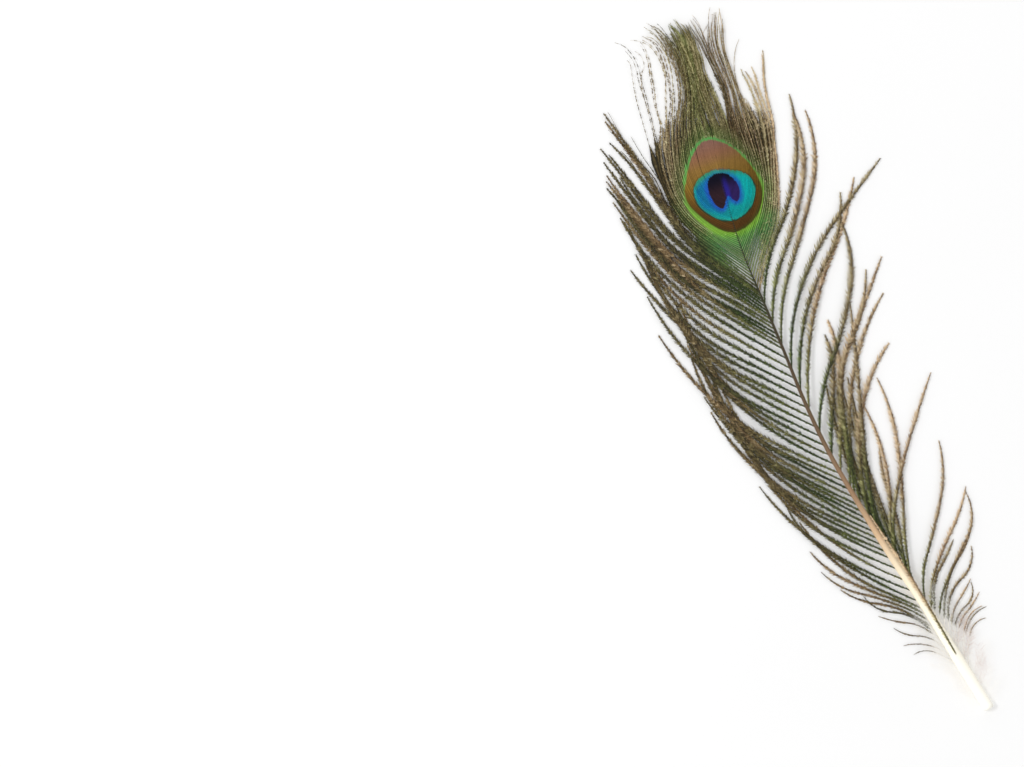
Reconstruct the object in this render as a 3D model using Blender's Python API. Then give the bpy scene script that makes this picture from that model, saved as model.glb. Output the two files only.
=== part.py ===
"""Peacock eye feather, one grown piece lying face up on a flat surface.

A thin shaft carries two rows of barbs. High up, the barbs lie side by side as the closed vane of the eye
and run on past it as a ragged fringe. Below the eye they are loose, and they shorten towards the bare quill.
Each lock here is one loose barb or one strand of the fringe. All of them grow out of the shaft as one solid.

The feather's own frame: +Y runs from the cut quill to the fringe, +X to the right of the eye, +Z up.
The origin is on the surface, under the middle of the feather's bounding box. Lengths are in millimetres
until they reach Blender, and directions are degrees away from +Y, outwards on the barb's own side.
"""

import bmesh
import bpy
import numpy as np

MM = 0.001

# The shaft: points of its plan, then its middle's height and its radius, each against length along the plan.
# The quill is cut off at a length of its own, a little past the plan's first point
SHAFT_LINE = [
    (1.8, -147.4), (-1.4, -122), (-4.6, -98), (-8.2, -76), (-11, -53), (-12.9, -31), (-13.1, -10),
    (-12, 10), (-10.9, 32), (-10.2, 50), (-8.6, 63), (-6.2, 77), (-3.7, 90),
]
SHAFT_HEIGHT = [
    (0, 2.0), (25, 2.3), (60, 3.9), (100, 5.0), (140, 4.2), (165, 2.6), (185, 1.3), (205, 1.0), (240, 0.9),
]
SHAFT_RADIUS = [(0, 2.0), (25, 2.1), (42, 1.7), (70, 1.35), (100, 0.95), (140, 0.7), (185, 0.55), (240, 0.5)]
SHAFT_STEP_LENGTH = 8.0
QUILL_CUT = 2.7

# Loose barbs: length along the shaft to the root, the barb's own length, then directions from root to tip.
# They go from the eye down to the quill, and the last four on the left grow between the topmost ones
RIGHT_BARBS = [
    (178, 82, 22, 48, 32, 8),
    (170, 83, 22, 46, 34, 0),
    (161, 92, 20, 43, 38, 2),
    (151, 90, 20, 42, 60, 62),
    (142, 79, 20, 36, 54, 18),
    (134, 92, 20, 33, 48, 34),
    (125, 84, 24, 46, 34, 0),
    (115, 47, 24, 29, 26, 0),
    (108, 59, 24, 29, 20, 2),
    (101, 91, 24, 17, 48, 44),
    (98, 88, 22, 12, 50, 24),
    (92, 85, 10, 22, 38, 56),
    (86, 71, 12, 20, 38, 60),
    (79, 90, 10, 20, 20, 18),
    (72, 69, 5, 11, 17, 10),
    (66, 64, 8, 26, 11, -4),
    (65, 77, 8, 34, 42, 44),
    (60, 51, 16, 16, 6, 20),
    (57, 81, 14, 23, 18, -2),
    (47, 65, 10, 42, 36, 10),
    (42, 53, 10, 42, 52, 35),
    (40, 34, 15, 25, 55, 45),
    (37, 56, 15, 48, 52, -5),
    (34, 48, 20, 32, 58, 28),
    (31, 40, 22, 26, 72, 10),
    (28, 29, 22, 22, 58, 50),
    (26, 30, 22, 25, 75, 0),
    (24, 28, 22, 25, 65, 50),
    (21, 26, 24, 25, 45, 95),
    (20, 27, 24, 26, 50, 95),
    (17, 25, 24, 24, 40, 105),
]
LEFT_BARBS = [
    (179, 86, 28, 34, 10, 14),
    (172, 84, 30, 36, 16, 8),
    (164, 88, 34, 34, 12, 16),
    (156, 84, 36, 34, 20, 4),
    (148, 88, 38, 36, 14, -4),
    (140, 82, 38, 38, 22, 12),
    (132, 90, 40, 34, 12, -8),
    (124, 86, 40, 38, 18, 4),
    (116, 84, 42, 32, 10, -10),
    (108, 88, 42, 38, 20, 8),
    (101, 84, 40, 36, 14, -6),
    (94, 88, 40, 38, 16, -8),
    (88, 90, 38, 38, 8, -11),
    (82, 84, 42, 34, 20, 10),
    (76, 86, 42, 38, 12, -6),
    (70, 80, 44, 34, 22, 14),
    (65, 82, 44, 38, 14, -8),
    (60, 76, 46, 32, 20, 4),
    (55, 72, 46, 38, 26, 12),
    (50, 66, 44, 36, 30, -4),
    (46, 60, 40, 42, 24, 10),
    (42, 54, 30, 46, 40, 14),
    (38, 50, 24, 44, 52, 20),
    (34, 44, 24, 36, 58, 30),
    (31, 38, 24, 28, 62, 10),
    (28, 32, 24, 26, 60, 44),
    (24, 28, 24, 26, 64, 30),
    (20, 26, 24, 26, 55, 80),
    (17, 24, 24, 26, 46, 100),
    (175.5, 85, 29, 35, 13, 11),
    (168, 86, 32, 35, 14, 12),
    (160, 86, 35, 34, 16, 10),
    (152, 86, 37, 35, 17, 0),
]

# Barbs of the eye and its fringe, in the same form, from the foot of the eye to the end of the shaft
RIGHT_EYE_BARBS = [
    (185, 94, 33, 45, 24, 18, 16, 18),
    (191, 86, 38, 45, 22, 14, 9, 0),
    (197, 90, 45, 42, 12, 6, 18, 40),
    (202, 88, 48, 42, 6, 5, 15, 40),
    (208, 86, 53, 30, 5, 6, 14, 40),
    (216, 78, 48, 26, 13, 3, 1, 0),
    (226, 64, 43, 18, 2, 6, 12, -12),
    (236, 55, 24, 11, 8, 6, 0, -14),
]
LEFT_EYE_BARBS = [
    (185, 95, 27, 33, 14, 0, 12, 8),
    (191, 102, 29, 31, 2, -10, -10, 25),
    (197, 101.6, 33, 30, -4, -18, -14, 15),
    (202, 95, 41, 26, -14, -22, -16, 30),
    (208, 91, 54, 15, -20, -21, -10, 16),
    (216, 80, 53, 2, -19, -21, -11, 15),
    (226, 67, 36, -12, -15, -17, -8, 5),
    (236, 53, -12, -13, -12, -8, -6, 4),
]

# The closed vane around the eye: its outline from the foot, up the right edge and down the left one
VANE_OUTLINE = [
    (-10.8, 36.7), (-4.9, 44.8), (1.0, 51.3), (8.3, 59.7), (12.2, 66.2), (15.8, 75.8), (20.2, 90.6),
    (14.4, 98.8), (3.4, 102.2), (-6.9, 105.3), (-16.1, 105.4), (-24.0, 97.4), (-27.1, 86.2),
    (-26.8, 75.2), (-23.1, 63.4), (-16.0, 51.7),
]
VANE_THICKNESS = 1.2

# A lock's cross-section is a flat diamond, narrow at its root and its tip. The droop is the power with which
# it sinks from the shaft to its rest, the height of its tip. Neighbours rest at different heights
BARB_HALF_WIDTH = 1.15
FRINGE_HALF_WIDTH = 1.8
LOCK_WIDTHS = [(0, 0.3), (0.1, 1), (0.6, 1), (1, 0.22)]
LOCK_FLATNESS = 0.36
LOCK_STEP_LENGTH = 8.4
LEAST_LOCK_STEPS = 5
DROOP = 1.8
BARB_RESTS = [0.02, 0.24, 0.46]
FRINGE_RESTS = [0.02, 0.12, 0.22]

# How finely the curves are made, the distance at which a curve's caps are welded on, and the finish
SHAFT_CURVE_STEPS = 8
VANE_CURVE_STEPS = 2
SHAFT_BEVEL_RESOLUTION = 2
LOCK_BEVEL_RESOLUTION = 0
WELD_DISTANCE = 1e-7
EDGE_ANGLE = 40
FEATHER_COLOUR = (0.078, 0.072, 0.022, 1)
FEATHER_ROUGHNESS = 0.55


def smooth(points, steps):
    """Points on a smooth curve through the given ones."""
    known = np.array(points, dtype=float)
    known = np.vstack([2 * known[0] - known[1], known, 2 * known[-1] - known[-2]])
    curve = []
    for before, start, end, after in zip(known, known[1:], known[2:], known[3:]):
        for share in np.arange(steps) / steps:
            bend = 2 * before - 5 * start + 4 * end - after
            twist = 3 * start - before - 3 * end + after
            curve.append(start + 0.5 * share * (end - before + share * (bend + share * twist)))
    curve.append(known[-2])
    return np.array(curve)


SHAFT_PLAN = smooth(SHAFT_LINE, SHAFT_CURVE_STEPS)
SHAFT_LENGTHS = np.concatenate([[0.0], np.cumsum(np.linalg.norm(np.diff(SHAFT_PLAN, axis=0), axis=1))])


def read(table, length):
    """The value that a table of (length, value) rows gives between its rows."""
    return np.interp(length, [row[0] for row in table], [row[1] for row in table])


def shaft_point(length):
    """The middle of the shaft at a length along its plan."""
    x = np.interp(length, SHAFT_LENGTHS, SHAFT_PLAN[:, 0])
    y = np.interp(length, SHAFT_LENGTHS, SHAFT_PLAN[:, 1])
    return np.array([x, y, read(SHAFT_HEIGHT, length)])


def lock_shape(side, barb, half_width, rest_height):
    """Points and half-widths along a lock: it leaves the shaft, turns and sinks to the surface."""
    root, length, *directions = barb
    count = max(LEAST_LOCK_STEPS, round(length / LOCK_STEP_LENGTH))
    share = np.linspace(0, 1, count + 1)
    middles = (share[1:] + share[:-1]) / 2
    turn = np.radians(np.interp(middles, np.linspace(0, 1, len(directions)), directions))
    steps = np.column_stack([side * np.sin(turn), np.cos(turn)]) * length / count
    start = shaft_point(root)
    plan = start[:2] + np.vstack([[0.0, 0.0], np.cumsum(steps, axis=0)])
    widths = half_width * read(LOCK_WIDTHS, share)
    lying = rest_height + widths * LOCK_FLATNESS
    height = lying + (start[2] - lying[0]) * (1 - share) ** DROOP
    return np.column_stack([plan, height]), widths


def tube(name, route, radii, resolution, flatness, collection):
    """A closed mesh tube along a route, squashed in height by its flatness."""
    curve = bpy.data.curves.new(name, "CURVE")
    curve.dimensions = "3D"
    curve.twist_mode = "Z_UP"
    curve.bevel_depth = MM
    curve.bevel_resolution = resolution
    curve.use_fill_caps = True
    spline = curve.splines.new("POLY")
    spline.points.add(len(route) - 1)
    for point, place, radius in zip(spline.points, route, radii):
        point.co = (place[0] * MM, place[1] * MM, place[2] * MM / flatness, 1)
        point.radius = radius
    return as_mesh(name, curve, flatness, collection)


def as_mesh(name, curve, flatness, collection):
    """Turns a curve into a mesh object with welded caps."""
    guide = bpy.data.objects.new(name + "_curve", curve)
    bpy.context.scene.collection.objects.link(guide)
    evaluated = guide.evaluated_get(bpy.context.evaluated_depsgraph_get())
    mesh = bpy.data.meshes.new_from_object(evaluated)
    mesh.name = name
    bpy.data.objects.remove(guide)
    model = bmesh.new()
    model.from_mesh(mesh)
    bmesh.ops.remove_doubles(model, verts=model.verts, dist=WELD_DISTANCE)
    for vertex in model.verts:
        vertex.co.z *= flatness
    bmesh.ops.recalc_face_normals(model, faces=model.faces)
    model.to_mesh(mesh)
    model.free()
    mesh.shade_smooth()
    mesh.set_sharp_from_angle(angle=np.radians(EDGE_ANGLE))
    piece = bpy.data.objects.new(name, mesh)
    collection.objects.link(piece)
    return piece


def make_shaft(collection):
    """The quill and the shaft, tapering to the end of the eye."""
    total = SHAFT_LENGTHS[-1]
    lengths = np.linspace(QUILL_CUT, total, round(total / SHAFT_STEP_LENGTH) + 1)
    route = [shaft_point(length) for length in lengths]
    radii = [read(SHAFT_RADIUS, length) for length in lengths]
    return tube("peacock_feather", route, radii, SHAFT_BEVEL_RESOLUTION, 1.0, collection)


def make_vane(collection):
    """The closed vane around the eye, flat underneath where it rests."""
    curve = bpy.data.curves.new("vane", "CURVE")
    curve.dimensions = "2D"
    curve.fill_mode = "BOTH"
    curve.extrude = VANE_THICKNESS / 2 * MM
    outline = smooth(VANE_OUTLINE + VANE_OUTLINE[:1], VANE_CURVE_STEPS)[:-1]
    spline = curve.splines.new("POLY")
    spline.points.add(len(outline) - 1)
    spline.use_cyclic_u = True
    for point, (x, y) in zip(spline.points, outline):
        point.co = (x * MM, y * MM, 0, 1)
    vane = as_mesh("vane", curve, 1.0, collection)
    for vertex in vane.data.vertices:
        vertex.co.z += VANE_THICKNESS / 2 * MM
    return vane


def make_locks(collection):
    """Every loose barb and every strand of the eye and its fringe."""
    groups = [
        ("right", 1, RIGHT_BARBS, BARB_HALF_WIDTH, BARB_RESTS),
        ("left", -1, LEFT_BARBS, BARB_HALF_WIDTH, BARB_RESTS),
        ("right_eye", 1, RIGHT_EYE_BARBS, FRINGE_HALF_WIDTH, FRINGE_RESTS),
        ("left_eye", -1, LEFT_EYE_BARBS, FRINGE_HALF_WIDTH, FRINGE_RESTS),
    ]
    for name, side, barbs, half_width, rests in groups:
        for number, barb in enumerate(barbs, 1):
            rest_height = rests[number % len(rests)]
            route, widths = lock_shape(side, barb, half_width, rest_height)
            tube(f"{name}_{number}", route, widths, LOCK_BEVEL_RESOLUTION, LOCK_FLATNESS, collection)


def feather_finish():
    """The olive brown that most of the barbs have."""
    finish = bpy.data.materials.new("olive_barbs")
    finish.use_nodes = True
    surface = finish.node_tree.nodes["Principled BSDF"]
    surface.inputs["Base Color"].default_value = FEATHER_COLOUR
    surface.inputs["Roughness"].default_value = FEATHER_ROUGHNESS
    return finish


def add_collection(name):
    collection = bpy.data.collections.new(name)
    bpy.context.scene.collection.children.link(collection)
    return collection


def main():
    for piece in list(bpy.data.objects):
        bpy.data.objects.remove(piece)
    feather_collection = add_collection("peacock_eye_feather")
    growth_collection = add_collection("growth")
    feather = make_shaft(feather_collection)
    feather.data.materials.append(feather_finish())
    make_vane(growth_collection)
    make_locks(growth_collection)
    for piece in growth_collection.objects:
        piece.hide_render = True
        piece.display_type = "WIRE"
    join = feather.modifiers.new("grow", "BOOLEAN")
    join.operation = "UNION"
    join.operand_type = "COLLECTION"
    join.collection = growth_collection
    join.solver = "EXACT"


main()
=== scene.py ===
# %% [markdown]
# # A peacock eye feather
# The feather lies face up on a pale table, as the photograph shows it. The solid model gives its size and
# place: a shaft, a thin vane around the eye, and one lock for each loose barb. This lesson grows the fine
# surface on it: every barb, the small barbules along its two edges, the coloured eye and the white down.

# %% The frame
import math

import bpy
import numpy as np
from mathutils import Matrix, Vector


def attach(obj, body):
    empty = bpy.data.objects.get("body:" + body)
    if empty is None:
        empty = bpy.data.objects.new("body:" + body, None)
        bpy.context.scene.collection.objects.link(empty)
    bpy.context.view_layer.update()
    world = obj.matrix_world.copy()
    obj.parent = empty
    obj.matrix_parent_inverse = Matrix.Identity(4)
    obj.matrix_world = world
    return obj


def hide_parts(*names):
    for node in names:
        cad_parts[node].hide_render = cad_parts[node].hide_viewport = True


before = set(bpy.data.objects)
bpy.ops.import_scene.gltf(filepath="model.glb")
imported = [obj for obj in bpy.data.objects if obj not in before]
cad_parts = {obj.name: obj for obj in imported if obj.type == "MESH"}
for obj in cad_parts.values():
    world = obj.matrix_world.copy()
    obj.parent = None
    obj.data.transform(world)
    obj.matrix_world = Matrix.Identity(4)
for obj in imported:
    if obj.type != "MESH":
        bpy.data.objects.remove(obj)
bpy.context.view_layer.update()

# %% [markdown]
# The feather's own frame has +Y from the cut quill to the fringe, +X to the right of the eye and +Z up.
# A feather is small, so its sizes read best in millimetres, and one factor turns them into Blender's metres.

# %% Units and the feather's facts
MM = 0.001
MM_PER_PIXEL = 0.38
PHOTO_WIDTH = 1024
FEATHER_LEAN = math.radians(25)
VIEW_MIDDLE = (-110.5, 43.2)
LENS = 85
SENSOR = 36

# %% [markdown]
# The photograph looks straight down, and the feather leans 25 degrees to the left in it. A long lens keeps
# the perspective weak, as in a product picture. Its height follows from the width of the picture.

# %% Camera
view_height = PHOTO_WIDTH * MM_PER_PIXEL * LENS / SENSOR
camera = bpy.data.objects.new("camera", bpy.data.cameras.new("camera"))
camera.data.lens = LENS
camera.data.sensor_width = SENSOR
camera.location = (VIEW_MIDDLE[0] * MM, VIEW_MIDDLE[1] * MM, view_height * MM)
camera.rotation_euler = (0, 0, -FEATHER_LEAN)
bpy.context.scene.collection.objects.link(camera)
bpy.context.scene.camera = camera
bpy.context.scene.view_settings.view_transform = "Standard"
print("camera height in mm", round(view_height, 1))

# %% [markdown]
# Colours are easiest to judge as the numbers that a picture shows, from 0 to 255. Blender's sockets want
# linear light, so one small function turns the first into the second.

# %% Colours
def colour(red, green, blue):
    """A linear colour from the 0 to 255 numbers of a picture."""
    parts = []
    for part in (red, green, blue):
        part = part / 255
        parts.append(part / 12.92 if part <= 0.04045 else ((part + 0.055) / 1.055) ** 2.4)
    return (*parts, 1)


# %% [markdown]
# Materials here are made of many small nodes. These helpers add a node and feed its sockets, and a value
# may be a plain number, a colour or another node's output.

# %% Node helpers
def feed(tree, socket, value):
    if isinstance(value, bpy.types.NodeSocket):
        tree.links.new(value, socket)
    else:
        socket.default_value = value


def mark(tree, name):
    """A number that the mesh keeps at each point."""
    reader = tree.nodes.new("ShaderNodeAttribute")
    reader.attribute_name = name
    return reader.outputs["Fac"]


def sums(tree, operation, first, second=0.0, third=0.0):
    maths = tree.nodes.new("ShaderNodeMath")
    maths.operation = operation
    for socket, value in zip(maths.inputs, (first, second, third)):
        feed(tree, socket, value)
    return maths.outputs[0]


def between(tree, value, low, high, start=0.0, end=1.0):
    """A smooth step from start to end while value goes from low to high."""
    step = tree.nodes.new("ShaderNodeMapRange")
    step.interpolation_type = "SMOOTHSTEP"
    for name, number in (("Value", value), ("From Min", low), ("From Max", high)):
        feed(tree, step.inputs[name], number)
    feed(tree, step.inputs["To Min"], start)
    feed(tree, step.inputs["To Max"], end)
    return step.outputs["Result"]


def blend(tree, amount, under, over, way="MIX"):
    mixed = tree.nodes.new("ShaderNodeMix")
    mixed.data_type = "RGBA"
    mixed.blend_type = way
    feed(tree, mixed.inputs[0], amount)
    feed(tree, mixed.inputs[6], under)
    feed(tree, mixed.inputs[7], over)
    return mixed.outputs[2]


def ramp(tree, value, stops):
    """A colour that follows value through stops of (place from 0 to 1, colour)."""
    made = tree.nodes.new("ShaderNodeValToRGB")
    elements = made.color_ramp.elements
    while len(elements) < len(stops):
        elements.new(0.5)
    for element, (place, shade) in zip(elements, stops):
        element.position = place
        element.color = shade
    feed(tree, made.inputs[0], value)
    return made.outputs["Color"]


def new_material(name, roughness, metallic=0.0):
    material = bpy.data.materials.new(name)
    material.use_nodes = True
    surface = material.node_tree.nodes["Principled BSDF"]
    surface.inputs["Roughness"].default_value = roughness
    surface.inputs["Metallic"].default_value = metallic
    return material, material.node_tree, surface


# %% [markdown]
# The table is a wide pale sheet. Soft light comes from all round, and one lamp from the left of the picture
# gives the shaft its lit side and the feather a faint shadow.

# %% Table and light
FLOOR_SIZE = 4.0
WORLD_LIGHT = 0.87
LAMP_POWER = 8.5
LAMP_PLACE = (-0.9, 0.6, 1.5)
LAMP_SIZE = 0.35

floor_mesh = bpy.data.meshes.new("floor")
half = FLOOR_SIZE / 2
floor_mesh.from_pydata(
    [(-half, -half, 0), (half, -half, 0), (half, half, 0), (-half, half, 0)], [], [(0, 1, 2, 3)]
)
floor = bpy.data.objects.new("floor", floor_mesh)
bpy.context.scene.collection.objects.link(floor)
floor_material, floor_tree, floor_surface = new_material("pale_table", 0.6)
floor_grain = floor_tree.nodes.new("ShaderNodeTexNoise")
floor_grain.inputs["Scale"].default_value = 40
paper = blend(floor_tree, floor_grain.outputs["Fac"], colour(246, 246, 246), colour(249, 249, 249))
feed(floor_tree, floor_surface.inputs["Base Color"], paper)
floor_mesh.materials.append(floor_material)

world = bpy.data.worlds.new("studio")
world.use_nodes = True
world.node_tree.nodes["Background"].inputs["Color"].default_value = (1, 1, 1, 1)
world.node_tree.nodes["Background"].inputs["Strength"].default_value = WORLD_LIGHT
bpy.context.scene.world = world
lamp = bpy.data.objects.new("lamp", bpy.data.lights.new("lamp", "AREA"))
lamp.data.energy = LAMP_POWER
lamp.data.size = LAMP_SIZE
lamp.location = LAMP_PLACE
lamp.rotation_euler = (-Vector(LAMP_PLACE)).to_track_quat("-Z", "Y").to_euler()
bpy.context.scene.collection.objects.link(lamp)

# %% [markdown]
# ## The shaft
# The shaft is a white quill at its cut end. It thins and darkens all the way up to the eye. Its line, height
# and radius are the same few numbers that the solid model uses, read off a smooth curve.

# %% The shaft's line
SHAFT_LINE = [
    (1.8, -147.4), (-1.4, -122), (-4.6, -98), (-8.2, -76), (-11, -53), (-12.9, -31), (-13.1, -10),
    (-12, 10), (-10.9, 32), (-10.2, 50), (-8.6, 63), (-6.2, 77), (-3.7, 90),
]
SHAFT_HEIGHT = [
    (0, 2.0), (25, 2.3), (60, 3.9), (100, 5.0), (140, 4.2), (165, 2.6), (185, 1.3), (205, 1.0), (240, 0.9),
]
SHAFT_RADIUS = [
    (0, 2.0), (25, 2.1), (42, 1.7), (70, 1.35), (100, 0.95), (140, 0.7), (176, 0.48), (186, 0.33), (193, 0.25),
    (205, 0.18), (216, 0.13), (240, 0.05),
]
SINKS = [(0, 0.0), (214, 0.0), (221, 0.3), (240, 0.5)]
QUILL_CUT = 2.7


def smooth(points, steps):
    """Points on a smooth curve through the given ones."""
    known = np.array(points, dtype=float)
    known = np.vstack([2 * known[0] - known[1], known, 2 * known[-1] - known[-2]])
    curve = []
    for before, start, end, after in zip(known, known[1:], known[2:], known[3:]):
        for share in np.arange(steps) / steps:
            bend = 2 * before - 5 * start + 4 * end - after
            twist = 3 * start - before - 3 * end + after
            curve.append(start + 0.5 * share * (end - before + share * (bend + share * twist)))
    curve.append(known[-2])
    return np.array(curve)


def read(table, place):
    """The value that a table of (place, value) rows gives between its rows."""
    return np.interp(place, [row[0] for row in table], [row[1] for row in table])


shaft_plan = smooth(SHAFT_LINE, 8)
shaft_lengths = np.concatenate([[0.0], np.cumsum(np.linalg.norm(np.diff(shaft_plan, axis=0), axis=1))])
SHAFT_LENGTH = shaft_lengths[-1]


def shaft_point(length):
    """The middle of the shaft at a length along its line."""
    x = np.interp(length, shaft_lengths, shaft_plan[:, 0])
    y = np.interp(length, shaft_lengths, shaft_plan[:, 1])
    return np.array([x, y, read(SHAFT_HEIGHT, length)])


print("shaft length in mm", round(SHAFT_LENGTH, 1))

# %% [markdown]
# Every piece of the feather is one joined mesh of thousands of small strips, so its points are worked out as
# whole arrays. This helper joins such arrays to a mesh. It also keeps a few numbers at each point, such as
# how far along its barb it is, for the materials, and lays the strips side by side on a flat map.

# %% Making a piece
def make_piece(name, parts, smooth_shading=True):
    """One object from parts of points in mm, corners, face sizes, places on the map and marks."""
    counts = [len(part["points"]) for part in parts]
    firsts = np.concatenate([[0], np.cumsum(counts)[:-1]]).astype(int)
    points = np.vstack([part["points"] for part in parts])
    corners = np.concatenate([part["corners"] + first for part, first in zip(parts, firsts)])
    sizes = np.concatenate([part["sizes"] for part in parts])
    places = np.vstack([part["places"] for part in parts])
    mesh = bpy.data.meshes.new(name)
    mesh.vertices.add(len(points))
    mesh.vertices.foreach_set("co", (points * MM).astype(np.float32).ravel())
    mesh.loops.add(len(corners))
    mesh.loops.foreach_set("vertex_index", corners.astype(np.int32))
    mesh.polygons.add(len(sizes))
    starts = np.concatenate([[0], np.cumsum(sizes)[:-1]]).astype(np.int32)
    mesh.polygons.foreach_set("loop_start", starts)
    mesh.update(calc_edges=True)
    mesh.uv_layers.new(name="OFBake").uv.foreach_set("vector", places.astype(np.float32).ravel())
    for label in parts[0]["marks"]:
        values = np.concatenate([part["marks"][label] for part in parts]).astype(np.float32)
        mesh.attributes.new(label, "FLOAT", "POINT").data.foreach_set("value", values)
    mesh.polygons.foreach_set("use_smooth", np.full(len(sizes), smooth_shading))
    piece = bpy.data.objects.new(name, mesh)
    bpy.context.scene.collection.objects.link(piece)
    print(name, "has", int((sizes - 2).sum()), "triangles")
    return piece


# %% Grid faces
def grid_faces(rows, columns, wrapped):
    """Corners and sizes of the quads of a grid of points, whose last column may meet the first."""
    across = columns if wrapped else columns - 1
    row, column = np.meshgrid(np.arange(rows - 1), np.arange(across), indexing="ij")
    after = (column + 1) % columns
    here, there = row * columns, (row + 1) * columns
    quads = np.stack([here + column, here + after, there + after, there + column], axis=-1)
    steps = np.stack([row, row, row + 1, row + 1], axis=-1) / (rows - 1)
    sides = np.stack([column, column + 1, column + 1, column], axis=-1) / across
    return quads.reshape(-1), np.full(row.size, 4), steps.reshape(-1), sides.reshape(-1)


# %% [markdown]
# The quill is hollow where it was cut. The shaft's tube therefore turns in at its cut end and runs back
# inside as a thin wall. Inside the eye it sinks under the barbs and closes to a point there.

# %% The shaft's tube
SHAFT_SIDES = 16
SHAFT_STEP = 1.5
QUILL_WALL = 0.45
QUILL_HOLLOW = 6.0
GROOVE_DEPTH = 0.1

outer = np.linspace(QUILL_CUT, SHAFT_LENGTH, round(SHAFT_LENGTH / SHAFT_STEP))
inner = QUILL_CUT + np.array([QUILL_HOLLOW, QUILL_HOLLOW, 0.3, 0.0])
inner_radius = np.array([0.0, 2.0 - QUILL_WALL, 2.0 - QUILL_WALL, 1.9 - QUILL_WALL / 2])
ring_lengths = np.concatenate([inner, outer, [SHAFT_LENGTH]])
ring_radii = np.concatenate([inner_radius, read(SHAFT_RADIUS, outer), [0.0]])
ring_angles = np.arange(SHAFT_SIDES) * 2 * math.pi / SHAFT_SIDES
middles = np.array([shaft_point(length) for length in ring_lengths])
middles[:, 2] -= read(SINKS, ring_lengths)
ahead = np.array([shaft_point(min(length + 1, SHAFT_LENGTH)) for length in ring_lengths])
behind = np.array([shaft_point(max(length - 1, 0)) for length in ring_lengths])
along = (ahead - behind)[:, :2]
along /= np.linalg.norm(along, axis=1)[:, None]
sideways = np.column_stack([along[:, 1], -along[:, 0], np.zeros(len(along))])
groove = 1 - GROOVE_DEPTH * np.exp(-((ring_angles - 1.5 * math.pi) / 0.35) ** 2)
reach = ring_radii[:, None, None] * groove[None, :, None]
rings = (
    middles[:, None, :]
    + reach * np.cos(ring_angles)[None, :, None] * sideways[:, None, :]
    + reach * np.sin(ring_angles)[None, :, None] * np.array([0, 0, 1])
)
shaft_corners, shaft_sizes, shaft_steps, shaft_sides = grid_faces(len(rings), SHAFT_SIDES, True)
shaft_part = {
    "points": rings.reshape(-1, 3),
    "corners": shaft_corners,
    "sizes": shaft_sizes,
    "places": np.column_stack([0.01 + 0.98 * shaft_steps, 0.02 + 0.96 * shaft_sides]),
    "marks": {"length": np.repeat(ring_lengths, SHAFT_SIDES), "turn": np.tile(ring_angles, len(rings))},
}
shaft = make_piece("shaft", [shaft_part])

# %% [markdown]
# ## The barbs
# Each loose barb leaves the shaft, bends forward and sinks to the table. A row gives the length along the
# shaft to its root, the barb's own length, and its directions away from +Y from root to tip, in degrees.

# %% Rows of the loose barbs
RIGHT_BARBS = [
    (178, 82, 22, 48, 32, 8),
    (170, 83, 22, 46, 34, 0),
    (161, 92, 20, 43, 38, 2),
    (151, 90, 20, 42, 60, 62),
    (142, 79, 20, 36, 54, 18),
    (134, 92, 20, 33, 48, 34),
    (125, 84, 24, 46, 34, 0),
    (115, 47, 24, 29, 26, 0),
    (108, 59, 24, 29, 20, 2),
    (101, 91, 24, 17, 48, 44),
    (98, 88, 22, 12, 50, 24),
    (92, 85, 10, 22, 38, 56),
    (86, 71, 12, 20, 38, 60),
    (79, 90, 10, 20, 20, 18),
    (72, 69, 5, 11, 17, 10),
    (66, 64, 8, 26, 11, -4),
    (65, 77, 8, 34, 42, 44),
    (60, 51, 16, 16, 6, 20),
    (57, 81, 14, 23, 18, -2),
    (47, 65, 10, 42, 36, 10),
    (42, 53, 10, 42, 52, 35),
    (40, 34, 15, 25, 55, 45),
    (37, 56, 15, 48, 52, -5),
    (34, 48, 20, 32, 58, 28),
    (31, 40, 22, 26, 72, 10),
    (28, 29, 22, 22, 58, 50),
    (26, 30, 22, 25, 75, 0),
    (24, 28, 22, 25, 65, 50),
    (21, 26, 24, 25, 45, 95),
    (20, 27, 24, 26, 50, 95),
    (17, 25, 24, 24, 40, 105),
]
LEFT_BARBS = [
    (179, 86, 28, 34, 10, 14),
    (172, 84, 30, 36, 16, 8),
    (164, 88, 34, 34, 12, 16),
    (156, 84, 36, 34, 20, 4),
    (148, 88, 38, 36, 14, -4),
    (140, 82, 38, 38, 22, 12),
    (132, 90, 40, 34, 12, -8),
    (124, 86, 40, 38, 18, 4),
    (116, 84, 42, 32, 10, -10),
    (108, 88, 42, 38, 20, 8),
    (101, 84, 40, 36, 14, -6),
    (94, 88, 40, 38, 16, -8),
    (88, 90, 38, 38, 8, -11),
    (82, 84, 42, 34, 20, 10),
    (76, 86, 42, 38, 12, -6),
    (70, 80, 44, 34, 22, 14),
    (65, 82, 44, 38, 14, -8),
    (60, 76, 46, 32, 20, 4),
    (55, 72, 46, 38, 26, 12),
    (50, 66, 44, 36, 30, -4),
    (46, 60, 40, 42, 24, 10),
    (42, 54, 30, 46, 40, 14),
    (38, 50, 24, 44, 52, 20),
    (34, 44, 24, 36, 58, 30),
    (31, 38, 24, 28, 62, 10),
    (28, 32, 24, 26, 60, 44),
    (24, 28, 24, 26, 64, 30),
    (20, 26, 24, 26, 55, 80),
    (17, 24, 24, 26, 46, 100),
    (175.5, 85, 29, 35, 13, 11),
    (168, 86, 32, 35, 14, 12),
    (160, 86, 35, 34, 16, 10),
    (152, 86, 37, 35, 17, 0),
]

# %% [markdown]
# A solid lock on the left stands for one or two barbs, because they grow closer together than solids may lie.
# The barbs between the locks follow both neighbours. On the right a few thin ones hug the shaft, and one
# dark barb from low on the left lies along the top of the shaft itself.

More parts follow.
